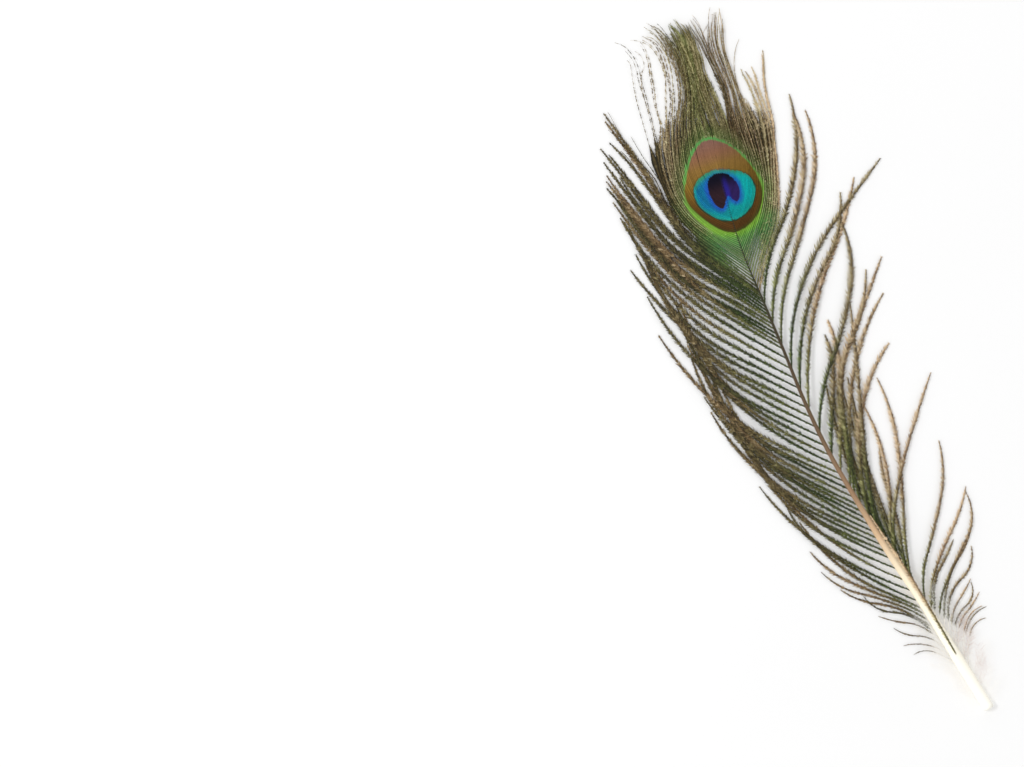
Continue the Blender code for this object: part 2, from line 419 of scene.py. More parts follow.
# %% Barbs between the locks
CLOSE_ABOVE = 158
CLOSE_GAP = 3.4
WIDE_GAP = 5.4
HUGGING_BARBS = [
    (50, 78, 2, 2, 6, 14),
    (56, 80, 0, 4, 8, 10),
    (62, 75, 2, -2, 6, 12),
    (68, 70, 0, 3, 9, 16),
    (75, 66, 2, 0, 8, 14),
]
NEAR_EYE_BARBS = [
    (182.6, 92, 27, 33, 13, 3, 12, 10),
    (181.5, 90, 27, 33, 13, 6, 12, 12),
    (180.3, 84, 29, 34, 16, 9, 12, 22),
]
RIDING_BARB = (27, 62, 4, 6, 8, 9)


def fill_in(rows, rng):
    """Rows half way between neighbours that are far apart, a little shorter and turned a little."""
    rows = sorted(rows, reverse=True)
    added = []
    for upper, lower in zip(rows, rows[1:]):
        widest = CLOSE_GAP if lower[0] > CLOSE_ABOVE else WIDE_GAP
        if upper[0] - lower[0] > widest:
            middle = (np.array(upper) + np.array(lower)) / 2
            middle[1] *= rng.uniform(0.92, 0.99)
            middle[3:] += rng.normal(0, 3, 3)
            added.append(tuple(middle))
    return added


more_left = fill_in(LEFT_BARBS, np.random.default_rng(5)) + NEAR_EYE_BARBS
print("barbs between the locks", len(more_left))

# %% [markdown]
# A route is the line of one barb: its points, its direction at each and how far along each lies. The solid
# locks have one point every eight millimetres, and the barbs here have one every millimetre.

# %% Routes
ROUTE_STEP = 1.0
LOCK_HEIGHT = 0.41
DROOP = 1.8
BARB_RESTS = [0.02, 0.24, 0.46]
RIDING_GAP = 0.25


def lay_out(start, length, directions, side, step):
    """Plan points from a start along directions that change evenly, away from +Y on one side."""
    count = max(6, round(length / step))
    share = np.linspace(0, 1, count + 1)
    middles = (share[1:] + share[:-1]) / 2
    turn = np.radians(np.interp(middles, np.linspace(0, 1, len(directions)), directions))
    steps = np.column_stack([side * np.sin(turn), np.cos(turn)]) * length / count
    return start + np.vstack([[0.0, 0.0], np.cumsum(steps, axis=0)]), share


def make_route(plan, heights, **facts):
    """A route with its points, lengths, shares and unit directions, and facts about its barb."""
    gaps = np.linalg.norm(np.diff(plan, axis=0), axis=1)
    lengths = np.concatenate([[0.0], np.cumsum(gaps)])
    ahead = np.gradient(plan, lengths, axis=0)
    ahead /= np.linalg.norm(ahead, axis=1)[:, None]
    points = np.column_stack([plan, heights])
    return {"points": points, "lengths": lengths, "share": lengths / lengths[-1], "ahead": ahead, **facts}


def loose_route(side, number, barb):
    root, length, *directions = barb
    start = shaft_point(root)
    plan, share = lay_out(start[:2], length, directions, side, ROUTE_STEP)
    rest = BARB_RESTS[number % 3] + LOCK_HEIGHT
    heights = rest + (start[2] - rest) * (1 - share) ** DROOP
    return make_route(plan, heights, root=root, side=side)


def riding_route(barb):
    """A barb that lies on top of the shaft all the way."""
    root, length, *directions = barb
    plan, share = lay_out(shaft_point(root)[:2], length, directions, -1, ROUTE_STEP)
    places = root + share * length
    heights = read(SHAFT_HEIGHT, places) + read(SHAFT_RADIUS, places) + RIDING_GAP
    return make_route(plan, heights, root=60, side=1, fluff=0.8, tint=1.2)


loose_routes = {
    "right": [loose_route(1, number, barb) for number, barb in enumerate(RIGHT_BARBS + HUGGING_BARBS, 1)],
    "left": [loose_route(-1, number, barb) for number, barb in enumerate(LEFT_BARBS + more_left, 1)],
}
for route in loose_routes["right"][len(RIGHT_BARBS) :]:
    route["tint"] = 0.0
loose_routes["right"].append(riding_route(RIDING_BARB))
print("loose barbs", {name: len(routes) for name, routes in loose_routes.items()})

# %% [markdown]
# A barb is a stiff thread, the ramus, with a row of fine barbules on each edge. Each barbule is a small
# curved blade that leans forward. Neighbours cling together in tufts, whose points give a barb its saw teeth.
# Blades are made for a whole piece at once: every blade has five points, and its place is given by how far
# it goes forward along the barb and how far out to the side.

# %% Barbules
def sample(routes, spacing, rng, first=0.0):
    """Places about a spacing apart along routes, with each place's route."""
    found = {"index": [], "length": [], "share": [], "point": [], "ahead": [], "room": []}
    for index, route in enumerate(routes):
        start, end = route.get("bare_until", first), route["lengths"][-1]
        if end - start < spacing:
            continue
        lengths = np.arange(start, end, spacing)
        lengths = np.clip(lengths + rng.uniform(-0.4, 0.4, len(lengths)) * spacing, 0, end)
        found["index"].append(np.full(len(lengths), index))
        found["length"].append(lengths)
        found["share"].append(lengths / end)
        point = [np.interp(lengths, route["lengths"], column) for column in route["points"].T]
        found["point"].append(np.column_stack(point))
        ahead = np.column_stack([np.interp(lengths, route["lengths"], column) for column in route["ahead"].T])
        found["ahead"].append(ahead / np.linalg.norm(ahead, axis=1)[:, None])
        room = route.get("room", np.zeros(len(route["lengths"])))
        found["room"].append(np.interp(lengths, route["lengths"], room))
    return {name: np.concatenate(values) for name, values in found.items()}


def tufts(at, rng, pitch):
    """How far up its tuft each barbule stands, from 0 to 1, and one chance number for each tuft."""
    shifts = rng.uniform(0, 1, at["index"].max() + 1)[at["index"]]
    place = at["length"] / pitch + shifts + 0.35 * np.sin(at["length"] * 1.1 + 6 * shifts)
    chance = np.sin((np.floor(place) + 517 * at["index"] + 0.5) * 12.9898) * 43758.5453
    return place % 1, chance % 1


def tooth(step, short):
    """How long a barbule is by its place in its tuft: the first ones reach out, the rest stay short."""
    return np.interp(step, [0, 0.35, 0.55, 1], [1.15, 1.0, short * 1.15, short])


def blades(at, side, span, width, lean, bend, lift, map_facts, marks):
    """Barbules of one side: span, width, lean, bend and lift are arrays with a value for each blade."""
    longest, strips, widest = map_facts
    first = span / 2
    forward_mid, out_mid = first * np.cos(lean), first * np.sin(lean)
    forward_tip = forward_mid + first * np.cos(lean - bend)
    out_tip = out_mid + first * np.sin(lean - bend)
    narrow_forward, narrow_out = 0.42 * width * np.sin(lean), -0.42 * width * np.cos(lean)
    zero = np.zeros(len(span))
    forward = np.stack(
        [-width / 2, width / 2, forward_mid + narrow_forward, forward_mid - narrow_forward, forward_tip], axis=1
    )
    out = np.stack([zero, zero, out_mid + narrow_out, out_mid - narrow_out, out_tip], axis=1)
    rise = np.stack([zero, zero, lift * 0.6, lift * 0.6, lift], axis=1)
    sideways = np.column_stack([at["ahead"][:, 1], -at["ahead"][:, 0]]) * side
    plan = (
        at["point"][:, None, :2]
        + forward[:, :, None] * at["ahead"][:, None, :]
        + out[:, :, None] * sideways[:, None, :]
    )
    height = np.maximum(at["point"][:, None, 2] + rise, 0.03)
    points = np.concatenate([plan, height[:, :, None]], axis=2).reshape(-1, 3)
    turn = [0, 3, 2, 1, 3, 4, 2] if side > 0 else [0, 1, 2, 3, 3, 2, 4]
    corners = (np.arange(len(span))[:, None] * 5 + np.array(turn)).reshape(-1)
    sizes = np.tile([4, 3], len(span))
    u = (1.0 + at["length"][:, None] + forward) / (longest + 4)
    v = (at["index"][:, None] + 0.56 + 0.42 * side * out / widest) / strips
    places = np.stack([u, v], axis=2).reshape(-1, 2)[corners]
    every = {name: np.repeat(values, 5) for name, values in marks.items()}
    every["across"] = np.tile(side * np.array([0.08, 0.08, 0.6, 0.6, 1.0]), len(span))
    return {"points": points, "corners": corners, "sizes": sizes, "places": places, "marks": every}


# %% [markdown]
# The ramus is a thin three-sided rod along the whole route.

# %% Rods
def rod(route, radii, index, map_facts, marks):
    """A thin three-sided rod along a route."""
    longest, strips, _ = map_facts
    rows = len(route["points"])
    sideways = np.column_stack([route["ahead"][:, 1], -route["ahead"][:, 0], np.zeros(rows)])
    up = np.array([0.0, 0.0, 1.0])
    corners_of = [(1, -0.4), (0, 0.9), (-1, -0.4)]
    points = np.stack(
        [route["points"] + radii[:, None] * (x * sideways + z * up) for x, z in corners_of], axis=1
    ).reshape(-1, 3)
    points[:, 2] = np.maximum(points[:, 2], 0.02)
    corners, sizes, steps, sides = grid_faces(rows, 3, True)
    u = (1.0 + steps * route["lengths"][-1]) / (longest + 4)
    v = (index + 0.01 + 0.1 * sides) / strips
    every = {name: np.repeat(np.broadcast_to(values, rows), 3) for name, values in marks.items()}
    every["across"] = np.tile([0.1, 0.0, -0.1], rows)
    return {
        "points": points, "corners": corners, "sizes": sizes, "places": np.column_stack([u, v]), "marks": every,
    }


# %% [markdown]
# ## Loose barbs
# Low on the shaft the first stretch of a barb is white down, and the brown barb starts past it. Each barb is
# about two millimetres wide and thins to its tip. Each barbule keeps a grain, a number between dark and pale,
# because in the photograph light and dark barbules mix like fur.

# %% Loose barbs, right and left
BARBULE_SPACING = 0.22
BARBULE_WIDTH = 0.26
TUFT = 1.05
RIGHT_SPANS = (2.1, 3.3)
LEFT_SPANS = (2.5, 2.5)
RIGHT_LEAN = 39
LEFT_LEAN = 27
SPAN_ALONG = [(0, 0.35), (0.06, 0.5), (0.2, 0.8), (0.45, 1.0), (0.75, 0.9), (0.92, 0.55), (1, 0.25)]
SPAN_BY_ROOT = [(17, 0.25), (26, 0.4), (40, 0.68), (65, 0.82), (95, 1.0)]
WHITE_LENGTH = [(15, 16), (24, 12), (34, 7.5), (47, 3), (58, 0)]


def loose_barbs(name, routes, spans, least_lean, seed):
    """One side's loose barbs, where spans are the barbules' lengths right and left of a barb's own way."""
    rng = np.random.default_rng(seed)
    longest = max(route["lengths"][-1] for route in routes)
    map_facts = (longest, len(routes), max(spans) * 1.2)
    tints = rng.uniform(0, 1, len(routes))
    tints = np.array([route.get("tint", tint) for route, tint in zip(routes, tints)])
    sizes = rng.uniform(0.88, 1.1, len(routes)) * np.array([route.get("fluff", 1.0) for route in routes])
    sizes *= read(SPAN_BY_ROOT, np.array([route["root"] for route in routes]))
    whites = np.array([read(WHITE_LENGTH, route["root"]) for route in routes])
    for route, white in zip(routes, whites):
        route["bare_until"] = max(1.2, white - 1.5)
    parts = []
    for index, route in enumerate(routes):
        marks = {
            "share": route["share"], "tint": tints[index], "from_white": route["lengths"] - whites[index],
            "grain": 0.5,
        }
        radii = 0.17 * np.interp(route["share"], [0, 0.1, 0.6, 1], [1.5, 1.1, 0.8, 0.3])
        parts.append(rod(route, radii, index, map_facts, marks))
    for side, full_span in zip((1, -1), spans):
        at = sample(routes, BARBULE_SPACING, rng)
        count = len(at["length"])
        step, chance = tufts(at, rng, TUFT)
        span = full_span * sizes[at["index"]] * read(SPAN_ALONG, at["share"])
        span *= tooth(step, 0.52) * rng.uniform(0.85, 1.1, count) * (0.8 + 0.3 * chance)
        span *= np.clip((at["length"] - whites[at["index"]]) / 2 + 0.6, 0.3, 1)
        width = BARBULE_WIDTH * rng.uniform(0.7, 1.2, count)
        lean = np.radians(least_lean + 10 * chance + rng.normal(0, 3, count))
        bend = np.radians(rng.normal(10, 5, count))
        lift = rng.normal(0.1, 0.18, count)
        marks = {
            "share": at["share"], "tint": tints[at["index"]], "from_white": at["length"] - whites[at["index"]],
            "grain": 0.45 * chance + 0.6 * rng.uniform(0, 1, count),
        }
        parts.append(blades(at, side, span, width, lean, bend, lift, map_facts, marks))
    return make_piece(name, parts)


barbs_right = loose_barbs("barbs_right", loose_routes["right"], RIGHT_SPANS, RIGHT_LEAN, 11)
barbs_left = loose_barbs("barbs_left", loose_routes["left"], LEFT_SPANS, LEFT_LEAN, 12)

# %% [markdown]
# ## The eye and its fringe
# From the foot of the eye the barbs lie side by side. Eight guide rows on each side give their lines, and
# the barbs between them follow both neighbours. Past the eye they gather into loose strands.

# %% Guide rows of the eye
RIGHT_EYE_BARBS = [
    (185, 94, 33, 45, 24, 18, 16, 18),
    (191, 86, 38, 45, 22, 14, 9, 0),
    (197, 90, 45, 42, 12, 6, 18, 40),
    (202, 88, 48, 42, 6, 5, 15, 40),
    (208, 86, 53, 30, 5, 6, 14, 40),
    (216, 78, 48, 26, 13, 3, 1, 0),
    (226, 64, 43, 18, 2, 6, 12, -12),
    (236, 55, 24, 11, 8, 6, 0, -14),
]
LEFT_EYE_BARBS = [
    (185, 95, 27, 33, 14, 0, 12, 8),
    (191, 102, 29, 31, 2, -10, -10, 25),
    (197, 101.6, 33, 30, -4, -18, -14, 15),
    (202, 95, 41, 26, -14, -22, -16, 30),
    (208, 91, 54, 15, -20, -21, -10, 16),
    (216, 80, 53, 2, -19, -21, -11, 15),
    (226, 67, 36, -12, -15, -17, -8, 5),
    (236, 53, -12, -13, -12, -8, -6, 4),
]
EYE_SPACING = [(183, 2.1), (190, 1.8), (196, 1.3), (204, 0.95), (212, 0.72), (240, 0.5)]
VANE_OUTLINE = [
    (-10.8, 36.7), (-4.9, 44.8), (1.0, 51.3), (8.3, 59.7), (12.2, 66.2), (15.8, 75.8), (20.2, 90.6),
    (14.4, 98.8), (3.4, 102.2), (-6.9, 105.3), (-16.1, 105.4), (-24.0, 97.4), (-27.1, 86.2),
    (-26.8, 75.2), (-23.1, 63.4), (-16.0, 51.7),
]

# %% [markdown]
# The eye has four zones, one inside another: a green ring, a bronze oval, a turquoise round and a dark heart.
# Their outlines are smooth closed curves. What the material needs at each point is how deep inside each zone
# it lies, because such a depth stays smooth between points and so keeps the zone's edge crisp.

# %% Zones of the eye
EYE_MIDDLE = np.array([-7.3, 74.9])
EYE_LEAN = math.radians(8)
ZONES = {
    "ring": [
        (-4.8, 97.0), (0.8, 93.6), (6.0, 85.2), (8.3, 76.5), (7.4, 68.8), (1.5, 61.0), (-4.4, 58.6),
        (-10.0, 58.6), (-17.9, 64.1), (-22.0, 72.6), (-21.8, 79.5), (-18.6, 86.6), (-11.9, 94.4),
    ],
    "bronze": [
        (-4.9, 95.4), (1.9, 90.3), (5.9, 81.5), (6.9, 73.9), (5.0, 66.8), (-0.1, 61.8), (-6.5, 59.6),
        (-13.0, 61.8), (-19.3, 70.8), (-21.3, 78.6), (-18.0, 85.2), (-12.0, 92.2),
    ],
    "turquoise": [
        (-17.1, 80.2), (-13.7, 83.6), (-7.8, 84.3), (-3.2, 82.8), (2.6, 79.2), (4.8, 74.9), (4.1, 70.3),
        (0.2, 65.7), (-4.6, 63.9), (-9.6, 64.3), (-14.7, 68.5), (-17.7, 74.6),
    ],
    "heart": [
        (-9.5, 82.3), (-6.9, 82.7), (-3.8, 81.7), (-1.7, 79.1), (-0.8, 75.5), (-1.2, 73.0), (-2.0, 70.9),
        (-3.0, 69.9), (-4.1, 69.9), (-5.2, 71.4), (-6.1, 73.1), (-7.6, 71.5), (-8.9, 70.0), (-10.1, 69.4),
        (-11.2, 70.4), (-12.1, 72.8), (-12.2, 77.5), (-11.2, 80.7),
    ],
}


def closed_curve(points, steps):
    looped = points[-1:] + points + points[:2]
    return smooth(looped, steps)[steps : -steps - 1]


def depth_inside(places, outline):
    """How far inside a closed outline each place lies, in mm, and less than nothing outside."""
    starts, ends = outline, np.roll(outline, -1, axis=0)
    nearest = np.full(len(places), 1e9)
    inside = np.zeros(len(places), dtype=bool)
    for (x1, y1), (x2, y2) in zip(starts, ends):
        dx, dy = x2 - x1, y2 - y1
        share = np.clip(((places[:, 0] - x1) * dx + (places[:, 1] - y1) * dy) / (dx * dx + dy * dy), 0, 1)
        gap = np.hypot(places[:, 0] - x1 - share * dx, places[:, 1] - y1 - share * dy)
        nearest = np.minimum(nearest, gap)
        crosses = (y1 > places[:, 1]) != (y2 > places[:, 1])
        at = np.where(crosses, x1 + (places[:, 1] - y1) * dx / (dy if dy else 1e-9), -1e9)
        inside ^= crosses & (places[:, 0] < at)
    return np.where(inside, nearest, -nearest)


zone_curves = {name: closed_curve(points, 6) for name, points in ZONES.items()}
vane_curve = closed_curve(VANE_OUTLINE, 4)


def eye_marks(plan, jitter):
    """The depths in each zone and the place along and across the eye, moved a little from barb to barb."""
    moved = {name: depth_inside(plan, curve) + jitter for name, curve in zone_curves.items()}
    out = plan - EYE_MIDDLE
    moved["eye_up"] = out[:, 0] * math.sin(EYE_LEAN) + out[:, 1] * math.cos(EYE_LEAN)
    moved["eye_side"] = out[:, 0] * math.cos(EYE_LEAN) - out[:, 1] * math.sin(EYE_LEAN)
    return moved


# %% [markdown]
# Past the eye the barbs gather into strands, which were read off the photograph. A row gives the last place
# along the shaft whose barb joins the strand, how far it spreads to each side in mm, how fluffy and how broken
# its barbules are, and the strand's line up to its tip in pixels of the photograph.

# %% Strands of the fringe, left
LEFT_STRANDS = [
    (184.5, 0.3, 1.0, 0.0, [(690, 250), (671, 221), (656, 198), (641, 178), (628, 160), (615, 146)]),
    (186.6, 0.2, 0.6, 0.0, [(684, 230), (666, 202), (656, 181), (646, 170), (634, 156), (615, 126), (595, 91)]),
    (188.4, 0.2, 0.8, 0.2, [(672, 215), (661, 192), (651, 175), (641, 164), (622, 145), (613, 138), (604, 131)]),
    (190.6, 0.3, 0.9, 0.1, [(672, 213), (661, 186), (652, 171), (643, 160), (632, 146), (624, 135)]),
    (192.6, 0.2, 0.8, 0.7, [(654, 157), (646, 134), (638, 108), (634, 86), (631, 71), (629, 64), (621, 57)]),
    (195.6, 0.4, 0.9, 0.8, [
        (661, 157), (652, 124), (644, 96), (640, 81), (638, 70), (633, 59), (623, 49), (610, 45),
    ]),
    (196.8, 0.2, 0.8, 0.8, [(653, 124), (648, 109), (643, 91), (641, 76), (644, 66), (641, 56), (633, 49)]),
    (199.7, 0.4, 0.9, 0.85, [
        (663, 142), (661, 126), (656, 108), (653, 86), (650, 73), (648, 61), (643, 47), (636, 40),
    ]),
    (202.5, 0.4, 0.9, 0.8, [(667, 135), (665, 99), (664, 76), (659, 59), (650, 47), (640, 42), (630, 40)]),
    (206, 0.6, 1.0, 0.7, [(673, 124), (672, 95), (670, 76), (665, 58), (657, 43), (646, 35), (638, 31)]),
    (210, 0.7, 1.0, 0.6, [(679, 120), (679, 95), (677, 76), (671, 58), (661, 42), (652, 31), (643, 26)]),
    (215, 0.7, 1.0, 0.4, [(684, 118), (685, 89), (681, 71), (674, 54), (666, 40), (657, 30), (647, 25)]),
    (220, 0.8, 1.0, 0.0, [(688, 114), (687, 89), (684, 71), (678, 54), (668, 39), (661, 27)]),
    (228, 0.9, 1.0, 0.0, [(692, 114), (690, 89), (687, 70), (681, 53), (673, 36), (666, 25)]),
    (245, 1.1, 1.0, 0.0, [(699, 114), (696, 89), (692, 70), (687, 51), (680, 34), (669, 23)]),
]

# %% Strands of the fringe, right
RIGHT_STRANDS = [
    (186.4, 0.3, 2.2, 0.0, [(775, 152), (773, 127), (768, 105), (764, 78), (762, 57), (758, 41)]),
    (188.3, 0.3, 2.0, 0.0, [(774, 140), (767, 111), (760, 91), (757, 74), (753, 60)]),
    (189.8, 0.3, 2.0, 0.0, [(772, 149), (766, 120), (758, 96), (753, 81), (747, 68)]),
    (192, 0.4, 1.8, 0.0, [(767, 146), (762, 120), (757, 100), (750, 83), (744, 71), (740, 54)]),
    (193.2, 0.2, 0.7, 0.2, [(750, 114), (741, 94), (735, 76), (734, 63), (736, 50), (740, 39), (742, 30)]),
    (198.7, 0.5, 1.1, 0.0, [(749, 122), (740, 98), (731, 72), (723, 46), (721, 25), (719, 7)]),
    (199.7, 0.2, 0.7, 0.2, [(743, 106), (735, 84), (728, 66), (724, 51), (725, 40), (729, 30), (730, 24)]),
    (203.5, 0.5, 1.1, 0.0, [(742, 117), (735, 94), (726, 68), (718, 47), (717, 25), (718, 6)]),
    (206, 0.4, 1.0, 0.1, [(737, 112), (731, 88), (723, 68), (716, 50), (713, 33), (714, 20), (715, 9)]),
    (207.5, 0.3, 0.8, 0.2, [(733, 110), (728, 89), (721, 70), (713, 52), (710, 35), (708, 18), (709, 8)]),
    (211.5, 0.4, 0.7, 0.2, [(732, 108), (726, 89), (719, 72), (712, 56), (708, 43), (707, 30), (702, 19)]),
    (212.3, 0.2, 0.6, 0.3, [
        (731, 106), (725, 88), (718, 72), (711, 56), (704, 44), (698, 35), (701, 23), (700, 11),
    ]),
    (213.8, 0.3, 0.6, 0.3, [(731, 106), (725, 88), (718, 72), (710, 56), (704, 40), (697, 25), (690, 16)]),
    (216.8, 0.3, 0.7, 0.4, [(730, 106), (724, 89), (717, 73), (708, 56), (700, 40), (693, 28), (688, 19)]),
    (219.6, 0.3, 0.7, 0.4, [(729, 106), (722, 89), (714, 73), (705, 56), (697, 41), (688, 29), (681, 19)]),
    (226, 0.7, 1.0, 0.0, [(720, 113), (715, 100), (709, 87), (703, 73), (699, 58), (692, 42), (684, 30)]),
    (245, 1.1, 1.0, 0.0, [(709, 113), (701, 89), (696, 70), (691, 51), (684, 35), (676, 26)]),
]

# %% [markdown]
# Each barb of the eye leaves the side of the shaft, sinks to the vane within a few millimetres, and leaves
# the closed vane where it crosses the vane's outline. About there it goes over to its strand's line, and at
# its tip it parts from the others again.

# %% Routes of the eye
VANE_HEIGHT = 0.75
ROUTE_STEPS = 80
JOINING = 9.0
ASTRAY = 0.14
WAVE = 0.2
PHOTO_MIDDLE = (823.6, 363.5)


def eye_stations():
    stations = [183.5]
    while stations[-1] < SHAFT_LENGTH - 0.8:
        stations.append(stations[-1] + float(read(EYE_SPACING, stations[-1])))
    return stations[:-1]


def mixed_row(rows, place):
    """A row between the guide rows, where place counts rows."""
    return np.array([np.interp(place, np.arange(len(rows)), column) for column in rows.T])


def guide_plan(row, side):
    return lay_out(shaft_point(row[0])[:2], row[1], row[2:], side, row[1] / ROUTE_STEPS)[0]


def from_photo(spots):
    """Places of the photograph's pixels in the feather's own frame, in mm."""
    right, down = ((np.array(spots, dtype=float) - PHOTO_MIDDLE) * MM_PER_PIXEL).T
    lean_cos, lean_sin = math.cos(FEATHER_LEAN), math.sin(FEATHER_LEAN)
    return np.column_stack([right * lean_cos - down * lean_sin, -down * lean_cos - right * lean_sin])


def join_strand(plan, line, spot, curl, phase, share):
    """A barb's plan that goes over to a strand's line, spot mm beside it, and ends at a share of it."""
    lengths = np.concatenate([[0.0], np.cumsum(np.linalg.norm(np.diff(plan, axis=0), axis=1))])
    steps = np.concatenate([[0.0], np.cumsum(np.linalg.norm(np.diff(line, axis=0), axis=1))])
    ahead = np.gradient(line, steps, axis=0)
    ahead /= np.linalg.norm(ahead, axis=1)[:, None]
    meets = lengths[np.argmin(np.linalg.norm(plan - line[0], axis=1))]
    places = np.linspace(0, meets + steps[-1] * share, ROUTE_STEPS + 1)
    own = np.column_stack([np.interp(places, lengths, column) for column in plan.T])
    past = places - meets
    goal = np.column_stack([np.interp(past, steps, column) for column in line.T])
    way = np.column_stack([np.interp(past, steps, column) for column in ahead.T])
    goal += np.minimum(past, 0)[:, None] * way
    end = np.clip(past / steps[-1], 0, 1)
    offset = spot * (1 + 0.8 * end**2) + curl * end**3 + WAVE * np.sin(past / 4 + phase)
    goal += offset[:, None] * np.column_stack([way[:, 1], -way[:, 0]])
    pull = np.clip(past / JOINING / 2 + 0.5, 0, 1)
    pull *= pull * (3 - 2 * pull)
    return own + (goal - own) * pull[:, None]


def eye_routes(rows, strands, side, seed):
    rng = np.random.default_rng(seed)
    rows = np.array(rows, dtype=float)
    lasts = np.array([strand[0] for strand in strands])
    lines = [smooth(from_photo(strand[4]), 6) for strand in strands]
    routes = []
    for station in eye_stations():
        row = mixed_row(rows, np.interp(station, rows[:, 0], np.arange(len(rows))))
        row[0] = station
        row[2:] += rng.normal(0, [0.2, 0.3, 1.0, 1.5, 2.0, 2.0])
        number = int(np.searchsorted(lasts, station))
        last, spread, fluff, broken, _ = strands[number]
        first = lasts[number - 1] if number else 182.0
        order = -side * (2 * (station - first) / (min(last, SHAFT_LENGTH) - first) - 1)
        astray = rng.uniform() < ASTRAY
        spot = spread * (order + rng.normal(0, 0.45)) * (2.2 if astray else 1)
        curl = rng.normal(0, 2.2 if astray else 1.0)
        phase = rng.uniform(0, 6.3)
        length_share = rng.uniform(0.84, 1.0)
        plan = join_strand(guide_plan(row, side), lines[number], spot, curl, phase, length_share)
        lengths = np.concatenate([[0.0], np.cumsum(np.linalg.norm(np.diff(plan, axis=0), axis=1))])
        outside = np.nonzero(depth_inside(plan, vane_curve)[8:] < 0)[0]
        leaves = lengths[outside[0] + 8] if len(outside) else lengths[-1] * 0.5
        share = lengths / lengths[-1]
        rest = VANE_HEIGHT + rng.uniform(-0.35, 0.75) * np.clip((share - 0.4) * 2.5, 0, 1)
        start = read(SHAFT_HEIGHT, station) + 0.5 * read(SHAFT_RADIUS, station)
        heights = rest + (start - VANE_HEIGHT) * np.exp(-lengths / 2.5)
        facts = {"root": station, "side": side, "leaves": leaves, "fluff": fluff, "broken": broken}
        routes.append(make_route(plan, heights, **facts))
    return routes


eye_sides = {
    "right": eye_routes(RIGHT_EYE_BARBS, RIGHT_STRANDS, 1, 21),
    "left": eye_routes(LEFT_EYE_BARBS, LEFT_STRANDS, -1, 22),
}
print("barbs of the eye", {name: len(routes) for name, routes in eye_sides.items()})

# %% [markdown]
# In the closed vane a barb's barbules hook into its neighbour's, so there it is one strip that is a little
# wider than the gap to the next barb. The strips tilt the same way and overlap like roof tiles. At the foot
# of the eye the strips are narrow and leave chevrons of gaps, and past the green ring they thin out.

# %% Strips of the closed vane
STRIP_SLOPE = 0.16
STRIP_RIDGE = 0.05
MOST_HALF_WIDTH = 1.5
OVERLAP = [(184, 0.26), (192, 0.32), (199, 0.42), (206, 0.62), (236, 0.62), (238, 0.95)]
CLOSING = [(6, 0.0), (18, 0.7)]
PAST_VANE = {1: [(184, 3), (240, 3)], -1: [(184, 26), (190, 20), (193, 8), (196, 3)]}
PAST_RING = [(-14, 0.85), (-6, 0.95), (-1.5, 1.0), (0, 1.0)]


def gaps_to(route, other):
    """How far each point of a route is from another route."""
    here, there = route["points"][:, None, :2], other["points"][None, :, :2]
    return np.linalg.norm(here - there, axis=2).min(axis=1)


def room_beside(route, neighbours):
    """Half the mean gap to a barb's neighbours at each of its points."""
    gap = np.mean([gaps_to(route, other) for other in neighbours], axis=0)
    return np.convolve(np.pad(gap, 4, mode="edge"), np.ones(9) / 9, mode="valid") / 2


def strip_widths(route):
    """Half the width of a barb's strip at each of its points."""
    overlap = np.maximum(read(OVERLAP, route["root"]), read(CLOSING, route["lengths"]))
    half_width = np.clip(2 * overlap * route["room"], 0.1, MOST_HALF_WIDTH)
    half_width *= read(PAST_RING, depth_inside(route["points"][:, :2], zone_curves["ring"]))
    last = route["leaves"] + read(PAST_VANE[route["side"]], route["root"])
    return half_width * np.clip((last - route["lengths"]) / 8, 0, 1)


def strip(route, half_width, index, map_facts, marks):
    """A ridged strip along a route, lower on the side towards the foot of the eye."""
    longest, strips, _ = map_facts
    keep = half_width > 0.02
    points, half_width, ahead = route["points"][keep], half_width[keep], route["ahead"][keep]
    rows = len(points)
    sideways = np.column_stack([ahead[:, 1], -ahead[:, 0], np.zeros(rows)]) * route["side"]
    up = np.array([0.0, 0.0, 1.0])
    edge = half_width[:, None] * (sideways - STRIP_SLOPE * up)
    grid = np.stack([points - edge, points + STRIP_RIDGE * up, points + edge], axis=1).reshape(-1, 3)
    corners, sizes, steps, sides = grid_faces(rows, 3, False)
    if route["side"] > 0:
        corners, steps, sides = (values.reshape(-1, 4)[:, ::-1].reshape(-1) for values in (corners, steps, sides))
    lengths = route["lengths"][keep]
    u = (1.0 + lengths[0] + steps * (lengths[-1] - lengths[0])) / (longest + 4)
    v = (index + 0.14 + 0.84 * sides) / strips
    every = eye_marks(grid[:, :2], marks["jitter"])
    every |= {name: np.full(rows * 3, marks[name]) for name in ("tint", "hue", "pale")}
    every["across"] = np.tile(np.array([-1, 0, 1]) * route["side"], rows)
    every["share"] = np.repeat(route["share"][keep], 3)
    every["closed"] = np.ones(rows * 3)
    every["grain"] = np.full(rows * 3, 0.42)
    split = np.clip(1 - np.abs(lengths - marks["split"][0]) / max(marks["split"][1], 0.01), 0, 1)
    every["split"] = np.repeat(np.minimum(split * 4, 1), 3)
    return {
        "points": grid, "corners": corners, "sizes": sizes, "places": np.column_stack([u, v]), "marks": every,
    }


# %% [markdown]
# Two barbs of the eye have come apart from their neighbours, and the shade in the gap between them is painted as
# a fine dark line. The barb that follows such a line best is found here, with the middle and the half length of
# the line along it.

# %% Splits in the vane
SPLITS = {"left": [(-10.4, 81.6), (-12.0, 97.2)], "right": [(-2.8, 65.9), (1.1, 70.7)]}


